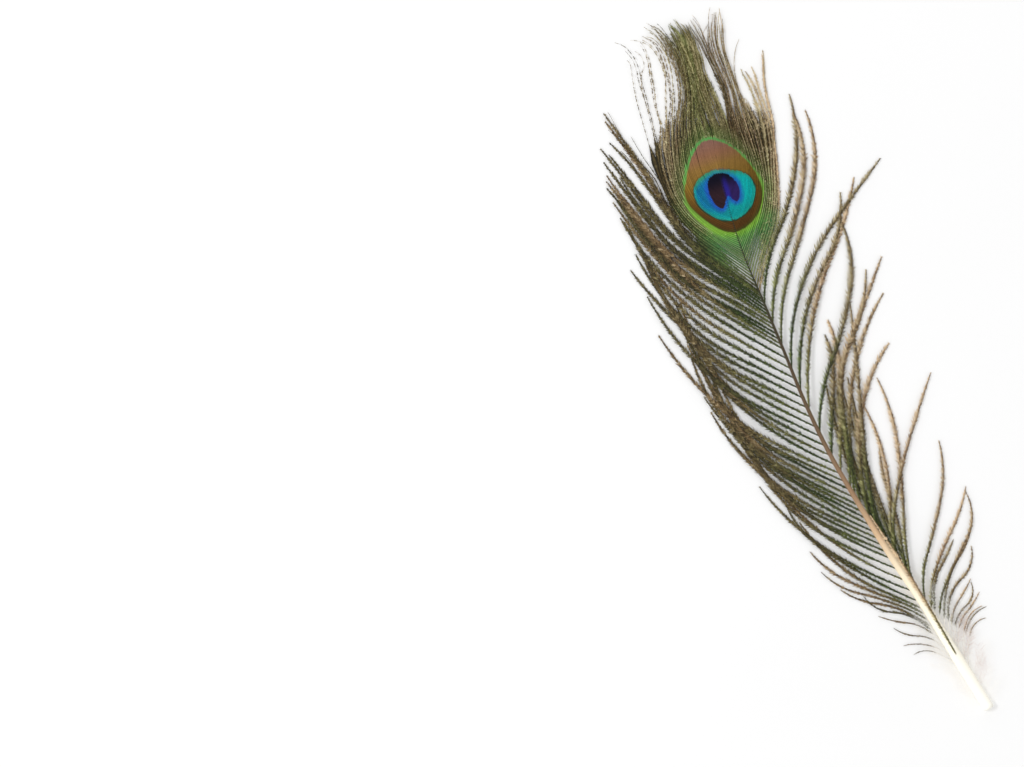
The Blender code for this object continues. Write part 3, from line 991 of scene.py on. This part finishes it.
def find_split(routes, line):
    start, end = (np.array(place) for place in line)
    tests = [start + (end - start) * share for share in (0, 0.5, 1)]
    misses = []
    for route in routes:
        plan = route["points"][:, :2]
        misses.append(sum(np.linalg.norm(plan - test, axis=1).min() for test in tests))
    best = int(np.argmin(misses))
    plan, lengths = routes[best]["points"][:, :2], routes[best]["lengths"]
    low, high = (lengths[np.argmin(np.linalg.norm(plan - place, axis=1))] for place in (start, end))
    return best, (low + high) / 2, abs(high - low) / 2


splits = {name: find_split(eye_sides[name], line) for name, line in SPLITS.items()}
print("splits: barb, middle and half length", splits)

# %% [markdown]
# Past the ring the same barbs carry free barbules, long where the barbs lie apart and short where they are
# gathered. Towards the far left barbules are missing in places, which breaks the strands' lines there. The hue
# of a barb goes from green to brown and its paleness from deep to straw, by its place along the shaft.

# %% The eye's barbs, right and left
FREE_SPACING = 0.24
FREE_WIDTH = 0.2
FREE_TUFT = 1.0
LEAST_SPAN = 0.62
MOST_SPAN = 2.6
SPAN_FOR_ROOM = 2.5
FURRY_TO = 45.0
FREE_ALONG = [(0, 1.0), (0.3, 0.95), (0.75, 0.95), (1, 0.35)]
FOOT_BARE = {
    "right": [(184, 3), (189, 10), (196, 18), (204, 14), (210, 4)],
    "left": [(184, 3), (189, 9), (196, 15), (204, 12), (210, 4)],
}
ZONE_JITTER = 0.13
HUES = {
    "right": [(185, 0.9), (197, 0.8), (204, 0.85), (216, 0.8), (224, 0.55), (240, 0.5)],
    "left": [(185, 0.6), (197, 0.75), (210, 0.75), (215, 0.6), (222, 0.4), (240, 0.45)],
}
PALENESS = {
    "right": [(185, 0.6), (192, 0.42), (199, 0.15), (210, 0.2), (222, 0.45), (230, 0.55), (240, 0.5)],
    "left": [(185, -0.2), (190, -0.1), (196, 0.35), (208, 0.55), (216, 0.35), (224, 0.4), (240, 0.5)],
}


def free_barbules(routes, side, marks, map_facts, rng):
    at = sample(routes, FREE_SPACING, rng)
    leaves, ends, fluff, broken = (
        np.array(values)[at["index"]]
        for values in zip(*((r["leaves"], r["lengths"][-1], r["fluff"], r["broken"]) for r in routes))
    )
    phases = marks["phase"][at["index"]]
    wave = np.sin(at["length"] * 2.0 + phases) + 0.8 * np.sin(at["length"] * 3.7 + 2.3 * phases)
    gone = (wave < 1.8 * broken - 1.5) & (at["length"] > leaves + 2) & (broken > 0)
    step, chance = tufts(at, rng, FREE_TUFT)
    free = np.clip((at["length"] - leaves) / (ends - leaves), 0, 1)
    furry = np.clip(1 - (at["length"] - np.maximum(leaves, FURRY_TO)) / 9, 0, 1)
    span = np.clip(SPAN_FOR_ROOM * at["room"] * furry, LEAST_SPAN * fluff, MOST_SPAN) * read(FREE_ALONG, free)
    span *= tooth(step, 0.55) * rng.uniform(0.8, 1.15, len(step))
    every = eye_marks(at["point"][:, :2], marks["jitter"][at["index"]])
    every |= {name: marks[name][at["index"]] for name in ("tint", "hue", "pale")}
    every["share"] = at["share"]
    slow = 0.5 + 0.5 * np.sin(at["length"] * 0.7 + 3 * phases)
    every["grain"] = 0.3 * slow + 0.3 * chance + 0.4 * rng.uniform(0, 1, len(step))
    keep = ~gone
    at = {name: values[keep] for name, values in at.items()}
    every = {name: values[keep] for name, values in every.items()}
    step, chance, span = step[keep], chance[keep], span[keep]
    count = len(step)
    every |= {"closed": np.zeros(count), "split": np.zeros(count)}
    width = FREE_WIDTH * rng.uniform(0.7, 1.3, count)
    lean = np.radians(20 + 18 * np.clip(span / 1.6, 0, 1) + 6 * chance + rng.normal(0, 4, count))
    bend = np.radians(rng.normal(10, 5, count))
    lift = rng.normal(0.13, 0.15, count)
    return blades(at, side, span, width, lean, bend, lift, map_facts, every)


def eye_barbs(name, side_name, seed):
    routes = eye_sides[side_name]
    rng = np.random.default_rng(seed)
    stations = np.array([route["root"] for route in routes])
    longest = max(route["lengths"][-1] for route in routes)
    map_facts = (longest, len(routes), MOST_SPAN)
    count = len(routes)
    marks = {
        "tint": rng.uniform(0, 1, count),
        "jitter": rng.normal(0, ZONE_JITTER, count),
        "phase": rng.uniform(0, 6.3, count),
        "hue": np.clip(read(HUES[side_name], stations) + rng.normal(0, 0.12, count), 0, 1),
        "pale": np.clip(read(PALENESS[side_name], stations) + rng.normal(0, 0.28, count), -0.3, 1),
    }
    split_barb, split_middle, split_half = splits[side_name]
    parts = []
    for index, route in enumerate(routes):
        neighbours = [routes[other] for other in (index - 1, index + 1) if 0 <= other < count]
        if index == count - 1:
            neighbours.append(eye_sides["left" if side_name == "right" else "right"][-1])
        route["room"] = room_beside(route, neighbours)
        own = {key: marks[key][index] for key in ("tint", "jitter", "hue", "pale")}
        own["split"] = (split_middle, split_half) if index == split_barb else (0.0, 0.0)
        parts.append(strip(route, strip_widths(route), index, map_facts, own))
        ring = depth_inside(route["points"][:, :2], zone_curves["ring"])
        inside = route["lengths"][ring > -0.7]
        bare = float(read(FOOT_BARE[side_name], route["root"]))
        route["bare_until"] = max(inside[-1], bare) if len(inside) else bare
        rows = len(route["points"])
        every = eye_marks(route["points"][:, :2], own["jitter"])
        every |= {key: own[key] for key in ("tint", "hue", "pale")}
        every |= {"share": route["share"], "closed": 0.0, "split": 0.0, "grain": 0.4 + 0.5 * own["pale"]}
        radii = np.interp(route["share"], [0, 0.1, 0.6, 1], [0.13, 0.11, 0.09, 0.045])
        radii *= np.where(route["lengths"] > route["leaves"], 1 - 0.5 * route["broken"], 1.0)
        under = {**route, "points": route["points"] - [0, 0, 0.2] * (ring > -0.7)[:, None]}
        parts.append(rod(under, radii, index, map_facts, every))
    for side in (1, -1):
        parts.append(free_barbules(routes, side, marks, map_facts, rng))
    return make_piece(name, parts)


eye_right = eye_barbs("eye_barbs_right", "right", 31)
eye_left = eye_barbs("eye_barbs_left", "left", 32)

# %% [markdown]
# ## Down
# Round the quill the barbs are short, white and soft. Their barbules are long, hair thin and wavy. Each is a
# narrow strip of three pieces that wanders a little, and together they make a pale haze beside the quill.

# %% White down
DOWN_SPACING = 1.5
WISP_SPACING = 0.45
WISP_SPAN = 3.6
WISP_WIDTH = 0.045
DOWN_LENGTH = [(3, 5), (10, 9), (22, 12), (36, 11), (50, 6), (60, 3)]
DOWN_WHITE_END = 58
TAWNY_FROM, TAWNY_TO = 10, 32


def wisps(at, side, span, lean, rng, tones):
    """Long wavy barbules of down, with seven points each."""
    count = len(span)
    width = WISP_WIDTH * rng.uniform(0.7, 1.2, count)
    turns = [lean, lean - rng.normal(0.25, 0.35, count), lean - rng.normal(0.35, 0.6, count)]
    forward, out, rise = [np.zeros(count)], [np.zeros(count)], [np.zeros(count)]
    climb = rng.normal(0.12, 0.28, count)
    for turn in turns:
        forward.append(forward[-1] + span / 3 * np.cos(turn))
        out.append(out[-1] + span / 3 * np.sin(turn))
        rise.append(rise[-1] + span / 3 * (climb + rng.normal(0, 0.12, count)))
    sideways = np.column_stack([at["ahead"][:, 1], -at["ahead"][:, 0]]) * side
    rows = []
    for step in range(4):
        turn = turns[min(step, 2)]
        thin = width * (1, 0.9, 0.6, 0)[step]
        for edge in (-1, 1) if step < 3 else (0,):
            f = forward[step] + edge * thin / 2 * np.sin(turn)
            o = out[step] - edge * thin / 2 * np.cos(turn)
            plan = at["point"][:, :2] + f[:, None] * at["ahead"] + o[:, None] * sideways
            rows.append(np.column_stack([plan, np.maximum(at["point"][:, 2] + rise[step], 0.03)]))
    points = np.stack(rows, axis=1).reshape(-1, 3)
    turn = np.array([0, 1, 3, 2, 2, 3, 5, 4, 4, 5, 6])
    corners = (np.arange(count)[:, None] * 7 + turn).reshape(-1)
    sizes = np.tile([4, 4, 3], count)
    u = np.array([0, 0, 0.33, 0.33, 0.66, 0.66, 1.0])[turn]
    v = np.array([0, 1, 0, 1, 0.1, 0.9, 0.5])[turn]
    cell = np.arange(count)[:, None]
    columns = 24
    places = np.stack(
        [(cell % columns + 0.1 + 0.8 * u) / columns, (cell // columns + 0.1 + 0.8 * v) / (count // columns + 1)],
        axis=2,
    ).reshape(-1, 2)
    marks = {"tone": np.repeat(tones, 7), "reach": np.tile([0, 0, 0.33, 0.33, 0.66, 0.66, 1.0], count)}
    return {"points": points, "corners": corners, "sizes": sizes, "places": places, "marks": marks}


def down_routes(side, rng):
    routes = []
    station = 4.5
    while station < DOWN_WHITE_END:
        length = float(read(DOWN_LENGTH, station)) * rng.uniform(0.8, 1.2) * (1.15 if side > 0 else 0.9)
        first = rng.normal(58, 9)
        directions = [first, first - 6, first - 22 + rng.normal(0, 8), first - 34 + rng.normal(0, 14)]
        start = shaft_point(station)
        start[:2] += side * 0.8 * read(SHAFT_RADIUS, station) * np.array([1.0, 0.13])
        plan, share = lay_out(start[:2], length, directions, side, 0.7)
        rest = rng.uniform(0.3, 2.6)
        heights = start[2] * 0.8 + (rest - start[2] * 0.8) * share**0.8
        tawny = side > 0 and TAWNY_FROM < station < TAWNY_TO and rng.uniform() < 0.4
        routes.append(make_route(plan, heights, root=station, tone=1.5 if tawny else rng.uniform(0, 1)))
        station += DOWN_SPACING * rng.uniform(0.8, 1.2)
    return routes


down_rng = np.random.default_rng(41)
down_lines = down_routes(1, down_rng) + down_routes(-1, down_rng)
for route in loose_routes["right"] + loose_routes["left"]:
    white = float(read(WHITE_LENGTH, route["root"]))
    if white > 0:
        keep = route["lengths"] <= white + 1.5
        plan, heights = route["points"][keep, :2], route["points"][keep, 2]
        down_lines.append(make_route(plan, heights, root=route["root"], tone=0.3))
down_tones = np.array([route["tone"] for route in down_lines])
down_parts = []
for side in (1, -1):
    at = sample(down_lines, WISP_SPACING, down_rng, first=0.4)
    count = len(at["length"])
    span = WISP_SPAN * np.interp(at["share"], [0, 0.3, 0.8, 1], [0.5, 1, 0.9, 0.6])
    span *= down_rng.uniform(0.5, 1.3, count)
    lean = np.radians(down_rng.normal(48, 14, count))
    down_parts.append(wisps(at, side, span, lean, down_rng, down_tones[at["index"]]))
down = make_piece("down", down_parts)

# %% [markdown]
# ## Finishes
# Three effects are shared by several materials. The first is the uneven tone of a strip of keratin fibres:
# every barb is a little lighter or darker, and fine streaks run along it.

# %% Shared group: fibre tone
def new_group(name, inputs, outputs):
    """An empty node group with its given values and results."""
    group = bpy.data.node_groups.new(name, "ShaderNodeTree")
    for label, value in inputs:
        socket = group.interface.new_socket(label, in_out="INPUT", socket_type="NodeSocketFloat")
        socket.default_value = value
    for label, kind in outputs:
        group.interface.new_socket(label, in_out="OUTPUT", socket_type=kind)
    given = group.nodes.new("NodeGroupInput").outputs
    return group, given, group.nodes.new("NodeGroupOutput").inputs


def use_group(tree, group, **values):
    used = tree.nodes.new("ShaderNodeGroup")
    used.node_tree = group
    for name, value in values.items():
        feed(tree, used.inputs[name], value)
    return used.outputs


fibre_tone, given, made = new_group(
    "fibre tone",
    [("Along", 0.0), ("Barb", 0.0), ("Strength", 0.3), ("Fineness", 60.0)],
    [("Tone", "NodeSocketFloat"), ("Glint", "NodeSocketFloat")],
)
place = fibre_tone.nodes.new("ShaderNodeCombineXYZ")
feed(fibre_tone, place.inputs["X"], sums(fibre_tone, "MULTIPLY", given["Along"], given["Fineness"]))
feed(fibre_tone, place.inputs["Y"], sums(fibre_tone, "MULTIPLY", given["Barb"], 913.0))
noise = fibre_tone.nodes.new("ShaderNodeTexNoise")
noise.inputs["Scale"].default_value = 1.0
noise.inputs["Detail"].default_value = 3.0
feed(fibre_tone, noise.inputs["Vector"], place.outputs["Vector"])
swing = sums(fibre_tone, "SUBTRACT", noise.outputs["Fac"], 0.5)
each = sums(fibre_tone, "MULTIPLY_ADD", given["Barb"], 0.6, -0.3)
both = sums(fibre_tone, "MULTIPLY_ADD", swing, 1.6, each)
feed(fibre_tone, made["Tone"], sums(fibre_tone, "MULTIPLY_ADD", both, given["Strength"], 1.0))
# Glint marks the brightest streaks, which the eye's finish uses for painted highlights.
feed(fibre_tone, made["Glint"], between(fibre_tone, noise.outputs["Fac"], 0.60, 0.72))

# %% [markdown]
# The second is the relief of the barbules themselves, too fine for a mesh: tiny ridges that slant away from
# the ramus on both sides.

# %% Shared group: barbule ridges
barbule_ridges, given, made = new_group(
    "barbule ridges", [("Along", 0.0), ("Across", 0.0), ("Count", 300.0)], [("Height", "NodeSocketFloat")]
)
turns = sums(barbule_ridges, "MULTIPLY", given["Along"], given["Count"])
slanted = sums(barbule_ridges, "MULTIPLY_ADD", sums(barbule_ridges, "ABSOLUTE", given["Across"]), -4.0, turns)
wave = sums(barbule_ridges, "SINE", slanted)
feed(barbule_ridges, made["Height"], sums(barbule_ridges, "MULTIPLY_ADD", wave, 0.5, 0.5))


def add_ridges(tree, surface, along, across, count, depth):
    ridges = use_group(tree, barbule_ridges, Along=along, Across=across, Count=count)
    bump = tree.nodes.new("ShaderNodeBump")
    bump.inputs["Strength"].default_value = 0.35
    bump.inputs["Distance"].default_value = depth
    feed(tree, bump.inputs["Height"], ridges["Height"])
    feed(tree, surface.inputs["Normal"], bump.outputs["Normal"])


# %% [markdown]
# The third is the colour of free barbules. Its grain runs from dark to pale, its hue from green to brown, and
# a pale barb has more pale barbules in it.

# %% Shared group: fur colour
fur_colour, given, made = new_group(
    "fur colour", [("Grain", 0.5), ("Hue", 0.5), ("Pale", 0.4)], [("Colour", "NodeSocketColor")]
)
moved_grain = sums(fur_colour, "SUBTRACT", given["Grain"], 0.28)
moved_grain = sums(fur_colour, "MULTIPLY_ADD", given["Pale"], 0.7, moved_grain)
dark = blend(fur_colour, given["Hue"], colour(34, 44, 16), colour(54, 38, 24))
middle = blend(fur_colour, given["Hue"], colour(74, 92, 38), colour(120, 94, 64))
light = blend(fur_colour, given["Hue"], colour(146, 162, 90), colour(208, 184, 150))
shade = blend(fur_colour, between(fur_colour, moved_grain, 0.1, 0.5), dark, middle)
shade = blend(fur_colour, between(fur_colour, moved_grain, 0.55, 1.0), shade, light)
feed(fur_colour, made["Colour"], shade)

# %% [markdown]
# On the right of the feather the edge of a barb that faces the lamp is painted paler, a painted highlight, and
# its other edge is painted dark, a painted shade. The outer half is more tan. On the left the barbs are greener
# and palest in their middle. Where a low barb leaves the down, it is white first.

# %% Loose barb finish
def barb_material(name, hue_start, hue_end, pale_start, pale_end, painted_side_light, middle_shift):
    material, tree, surface = new_material(name, 0.55)
    surface.inputs["Specular IOR Level"].default_value = 0.25
    share, across, tint = mark(tree, "share"), mark(tree, "across"), mark(tree, "tint")
    tone = use_group(tree, fibre_tone, Along=share, Barb=tint, Strength=0.6, Fineness=75.0)["Tone"]
    # Painted highlight and painted shade: the barb's edge towards the lamp is paler, its other edge darker.
    grain = sums(tree, "MULTIPLY_ADD", across, painted_side_light, mark(tree, "grain"))
    core = sums(tree, "SUBTRACT", 0.5, sums(tree, "ABSOLUTE", across))
    grain = sums(tree, "MULTIPLY_ADD", core, middle_shift, grain)
    hue = between(tree, share, 0.1, 0.6, hue_start, hue_end)
    hue = sums(tree, "MULTIPLY_ADD", tint, 0.4, hue)
    pale = between(tree, share, 0.15, 0.85, pale_start, pale_end)
    pale = sums(tree, "MULTIPLY_ADD", tint, 0.25, pale)
    body = use_group(tree, fur_colour, Grain=grain, Hue=hue, Pale=pale)["Colour"]
    body = blend(tree, 1.0, body, tone, "MULTIPLY")
    body = blend(tree, between(tree, mark(tree, "from_white"), 1.0, -0.6), body, colour(252, 249, 243))
    feed(tree, surface.inputs["Base Color"], body)
    add_ridges(tree, surface, share, across, 900.0, 0.00006)
    return material


barbs_right.data.materials.append(barb_material("olive_barbs", 0.0, 0.72, 0.05, 0.52, -0.4, 0.0))
barbs_left.data.materials.append(barb_material("green_barbs", -0.1, 0.5, -0.15, 0.05, -0.05, 0.35))

# %% [markdown]
# The eye's colours are structural: thin layers in the barbules reflect them, so they shine like satin metal.
# Each zone is laid over the last by its depth. First come the barbs outside the ring.

# %% Eye finish, outside the ring
def outside_ring(tree, facts):
    """Fur colours with a green glow round the ring and a green foot with bright chevrons."""
    ring, up = facts["ring"], facts["eye_up"]
    far = between(tree, sums(tree, "ABSOLUTE", facts["eye_side"]), 12.0, 19.0, 0.0, 0.45)
    far = sums(tree, "MULTIPLY", far, between(tree, up, 14.0, 28.0))
    pale = sums(tree, "ADD", facts["pale"], between(tree, facts["share"], 0.65, 1.0, 0.0, 0.15))
    pale = sums(tree, "ADD", pale, far)
    core = sums(tree, "SUBTRACT", 0.5, sums(tree, "ABSOLUTE", facts["across"]))
    grain = sums(tree, "MULTIPLY_ADD", core, 1.0, facts["grain"])
    body = use_group(tree, fur_colour, Grain=grain, Hue=facts["hue"], Pale=pale)["Colour"]
    body = blend(tree, between(tree, ring, -6.0, -0.4, 0.0, 0.5), body, colour(70, 102, 44))
    foot_shade = ramp(tree, sums(tree, "MULTIPLY", ring, -1 / 24), [
        (0.0, colour(124, 180, 64)), (0.07, colour(92, 154, 72)), (0.2, colour(76, 130, 74)),
        (0.4, colour(92, 128, 70)), (0.7, colour(122, 134, 84)), (1.0, colour(110, 112, 66)),
    ])
    foot = sums(tree, "MULTIPLY", between(tree, up, -9.0, -15.0), between(tree, ring, -24.0, -14.0))
    foot = sums(tree, "MULTIPLY", foot, between(tree, facts["closed"], 0.0, 1.0, 0.45, 1.0))
    foot = sums(tree, "MULTIPLY", foot, between(tree, facts["eye_side"], -14.0, -7.0, 0.2, 1.0))
    under = sums(tree, "MULTIPLY", facts["closed"], between(tree, ring, -1.5, -6.0, 0.0, 0.65))
    body = blend(tree, under, body, colour(48, 42, 22))
    # Painted highlight: pale lines along the middles of the closed strips near the ring.
    painted_core_highlight = sums(tree, "MULTIPLY", between(tree, ring, -8.0, -0.5), between(tree, core, 0.05, 0.4, 0.0, 0.9))
    painted_core_highlight = sums(tree, "MULTIPLY", painted_core_highlight, between(tree, up, 8.0, -4.0, 0.25, 1.0))
    body = blend(tree, sums(tree, "MULTIPLY", painted_core_highlight, facts["closed"]), body, colour(158, 184, 118))
    body = blend(tree, foot, body, foot_shade)
    return body, foot


# %% [markdown]
# Inside the ring the zones follow one another: green, bronze from violet brown at the top to deep brown at
# the foot, turquoise that turns from blue on the left to green on the right, and the heart with its violet
# streak and its softer blue edge.

# %% Eye finish, inside the ring
def inside_ring(tree, facts, body):
    ring, bronze, turquoise, heart = (facts[name] for name in ("ring", "bronze", "turquoise", "heart"))
    up, side = facts["eye_up"], facts["eye_side"]
    ring_shade = ramp(tree, between(tree, up, -16.0, 22.0), [
        (0.0, colour(126, 174, 62)), (0.3, colour(116, 164, 66)), (0.65, colour(104, 160, 76)),
        (1.0, colour(92, 156, 82)),
    ])
    uneven = sums(tree, "MULTIPLY_ADD", facts["tint"], 0.7, sums(tree, "SUBTRACT", ring, 0.35))
    body = blend(tree, between(tree, uneven, -0.1, 0.6), body, ring_shade)
    bronze_shade = ramp(tree, between(tree, up, -16.0, 22.0), [
        (0.0, colour(84, 56, 24)), (0.28, colour(104, 72, 26)), (0.6, colour(132, 102, 40)),
        (0.8, colour(140, 107, 54)), (0.93, colour(139, 98, 74)), (1.0, colour(132, 96, 84)),
    ])
    bronze_shade = blend(tree, between(tree, side, 4.0, 15.0, 0.0, 0.3), bronze_shade, colour(90, 66, 26))
    edge = sums(tree, "MULTIPLY", between(tree, bronze, 1.2, 0.0), between(tree, up, 6.0, -4.0, 0.0, 0.7))
    bronze_shade = blend(tree, edge, bronze_shade, colour(70, 74, 30))
    bronze = sums(tree, "ADD", bronze, between(tree, side, -5.0, -13.0, 0.0, -0.45))
    body = blend(tree, between(tree, bronze, -0.75, -0.05), body, bronze_shade)
    rim = between(tree, turquoise, -0.7, -0.1)
    rim = sums(tree, "MULTIPLY", rim, between(tree, up, 8.0, 0.0, 0.4, 0.9))
    body = blend(tree, rim, body, colour(30, 60, 44))
    teal = blend(tree, between(tree, side, -9.0, 8.0), colour(8, 106, 154), colour(4, 174, 172))
    teal = blend(tree, between(tree, up, -3.0, -8.0, 0.0, 0.7), teal, colour(10, 148, 144))
    teal = blend(tree, between(tree, turquoise, 1.5, 0.2, 0.0, 0.65), teal, colour(34, 164, 138))
    top_rim = between(tree, up, 3.0, 8.0, 0.0, 0.9)
    top_rim = sums(tree, "MULTIPLY", top_rim, between(tree, turquoise, 3.0, 0.3))
    teal = blend(tree, top_rim, teal, colour(56, 142, 92))
    spot = tree.nodes.new("ShaderNodeCombineXYZ")
    feed(tree, spot.inputs["X"], side)
    feed(tree, spot.inputs["Y"], up)
    sparkle = tree.nodes.new("ShaderNodeTexNoise")
    sparkle.inputs["Scale"].default_value = 3.6
    feed(tree, sparkle.inputs["Vector"], spot.outputs["Vector"])
    glitter = between(tree, sparkle.outputs["Fac"], 0.3, 0.7)
    teal = blend(tree, between(tree, glitter, 0.5, 0.0, 0.0, 0.3), teal, colour(8, 86, 118))
    teal = blend(tree, between(tree, glitter, 0.6, 1.0, 0.0, 0.3), teal, colour(60, 200, 190))
    body = blend(tree, between(tree, turquoise, -0.2, 0.3), body, teal)
    halo = between(tree, heart, -2.3, -0.2, 0.0, 0.8)
    halo = sums(tree, "MULTIPLY", halo, between(tree, up, 8.5, 3.0, 0.3, 1.0))
    body = blend(tree, halo, body, colour(34, 74, 186))
    left_lobe = blend(tree, between(tree, up, -1.0, 6.0), colour(46, 28, 36), colour(12, 8, 28))
    right_lobe = blend(tree, between(tree, up, 0.0, 6.0), colour(48, 32, 90), colour(12, 10, 36))
    heart_shade = blend(tree, between(tree, side, 0.2, 2.6), left_lobe, right_lobe)
    off_streak = sums(tree, "ABSOLUTE", sums(tree, "SUBTRACT", side, 1.7))
    streak = sums(tree, "MULTIPLY", between(tree, off_streak, 1.7, 0.1), between(tree, up, 7.0, 1.0))
    heart_shade = blend(tree, streak, heart_shade, colour(44, 36, 138))
    return blend(tree, between(tree, heart, -0.15, 0.3), body, heart_shade)


# %% Eye finish
def eye_material():
    material, tree, surface = new_material("eye_barbs", 0.5)
    surface.inputs["Specular IOR Level"].default_value = 0.12
    names = (
        "share", "across", "tint", "grain", "hue", "pale", "closed", "split", "ring", "bronze", "turquoise",
        "heart", "eye_up", "eye_side",
    )
    facts = {name: mark(tree, name) for name in names}
    tones = use_group(
        tree, fibre_tone, Along=facts["share"], Barb=facts["tint"], Strength=0.6, Fineness=80.0
    )
    inside_tones = use_group(
        tree, fibre_tone, Along=facts["share"], Barb=facts["tint"], Strength=0.42, Fineness=120.0
    )
    body, foot = outside_ring(tree, facts)
    # Painted glints: pale highlight patches along the barbs, more of them on pale barbs.
    painted_glint = sums(tree, "MULTIPLY", tones["Glint"], sums(tree, "MULTIPLY_ADD", facts["pale"], 0.8, 0.15))
    body = blend(tree, painted_glint, body, colour(190, 184, 146))
    body = blend(tree, 1.0, body, tones["Tone"], "MULTIPLY")
    body = inside_ring(tree, facts, body)
    inside = between(tree, facts["ring"], -0.3, 0.4)
    body = blend(tree, inside, body, blend(tree, 1.0, body, inside_tones["Tone"], "MULTIPLY"))
    # Painted shade: the edges of the closed strips are darkened as if in the shade of the gaps between barbs.
    gap = between(tree, sums(tree, "ABSOLUTE", facts["across"]), 0.25, 0.9)
    gap = sums(tree, "MULTIPLY", gap, facts["closed"])
    depth = between(tree, facts["ring"], 1.0, -0.4, 0.4, 0.8)
    body = blend(tree, sums(tree, "MULTIPLY", gap, depth), body, colour(18, 22, 12))
    # Painted shade: a dark line along the edge of the split barb.
    painted_split_shade = between(tree, facts["across"], 0.2, 0.6)
    body = blend(tree, sums(tree, "MULTIPLY", facts["split"], painted_split_shade), body, colour(14, 14, 10))
    feed(tree, surface.inputs["Base Color"], body)
    feed(tree, surface.inputs["Metallic"], between(tree, facts["ring"], -1.0, 0.5, 0.05, 0.55))
    add_ridges(tree, surface, facts["share"], facts["across"], 1200.0, 0.00004)
    return material


eye_finish = eye_material()
eye_right.data.materials.append(eye_finish)
eye_left.data.materials.append(eye_finish)

# %% [markdown]
# Down is white with a warm tinge, and a few wisps beside the quill are tawny. The quill is polished keratin:
# white at the cut, then cream, tan and brown, with faint streaks along it.

# %% Down and quill finishes
def down_material():
    material, tree, surface = new_material("white_down", 0.8)
    tone, reach = mark(tree, "tone"), mark(tree, "reach")
    shade = blend(tree, tone, colour(255, 254, 252), colour(250, 245, 238))
    tawny = sums(tree, "MULTIPLY", between(tree, tone, 1.1, 1.4), between(tree, reach, 0.0, 1.0, 0.5, 0.95))
    shade = blend(tree, tawny, shade, colour(186, 142, 122))
    feed(tree, surface.inputs["Base Color"], shade)
    return material


def quill_material():
    material, tree, surface = new_material("quill", 0.45)
    surface.inputs["Specular IOR Level"].default_value = 0.25
    length, turn = mark(tree, "length"), mark(tree, "turn")
    base = ramp(tree, sums(tree, "DIVIDE", length, SHAFT_LENGTH), [
        (0.0, colour(253, 250, 240)), (0.17, colour(250, 244, 226)), (0.27, colour(240, 224, 194)),
        (0.34, colour(206, 174, 138)), (0.41, colour(150, 120, 92)), (0.52, colour(106, 84, 62)),
        (0.66, colour(66, 54, 36)), (0.78, colour(42, 44, 24)), (1.0, colour(30, 36, 24)),
    ])
    tones = use_group(
        tree, fibre_tone, Along=sums(tree, "MULTIPLY", length, 0.004), Barb=turn, Strength=0.16, Fineness=12.0
    )
    feed(tree, surface.inputs["Base Color"], blend(tree, 1.0, base, tones["Tone"], "MULTIPLY"))
    bump = tree.nodes.new("ShaderNodeBump")
    bump.inputs["Strength"].default_value = 0.2
    bump.inputs["Distance"].default_value = 0.0001
    feed(tree, bump.inputs["Height"], tones["Tone"])
    feed(tree, surface.inputs["Normal"], bump.outputs["Normal"])
    return material


down.data.materials.append(down_material())
shaft.data.materials.append(quill_material())

# %% [markdown]
# ## Joining the frame
# A feather is one grown piece with no joint, so every piece rides on the one body and replaces the plain
# solid that carried its size.

# %% Riding on the body, and the solid hidden
for piece, slot in (
    (shaft, "quill"), (barbs_right, "barbs"), (barbs_left, "barbs"), (eye_right, "eye"), (eye_left, "eye"),
    (down, "down"),
):
    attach(piece, "root")
    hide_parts("peacock_feather")
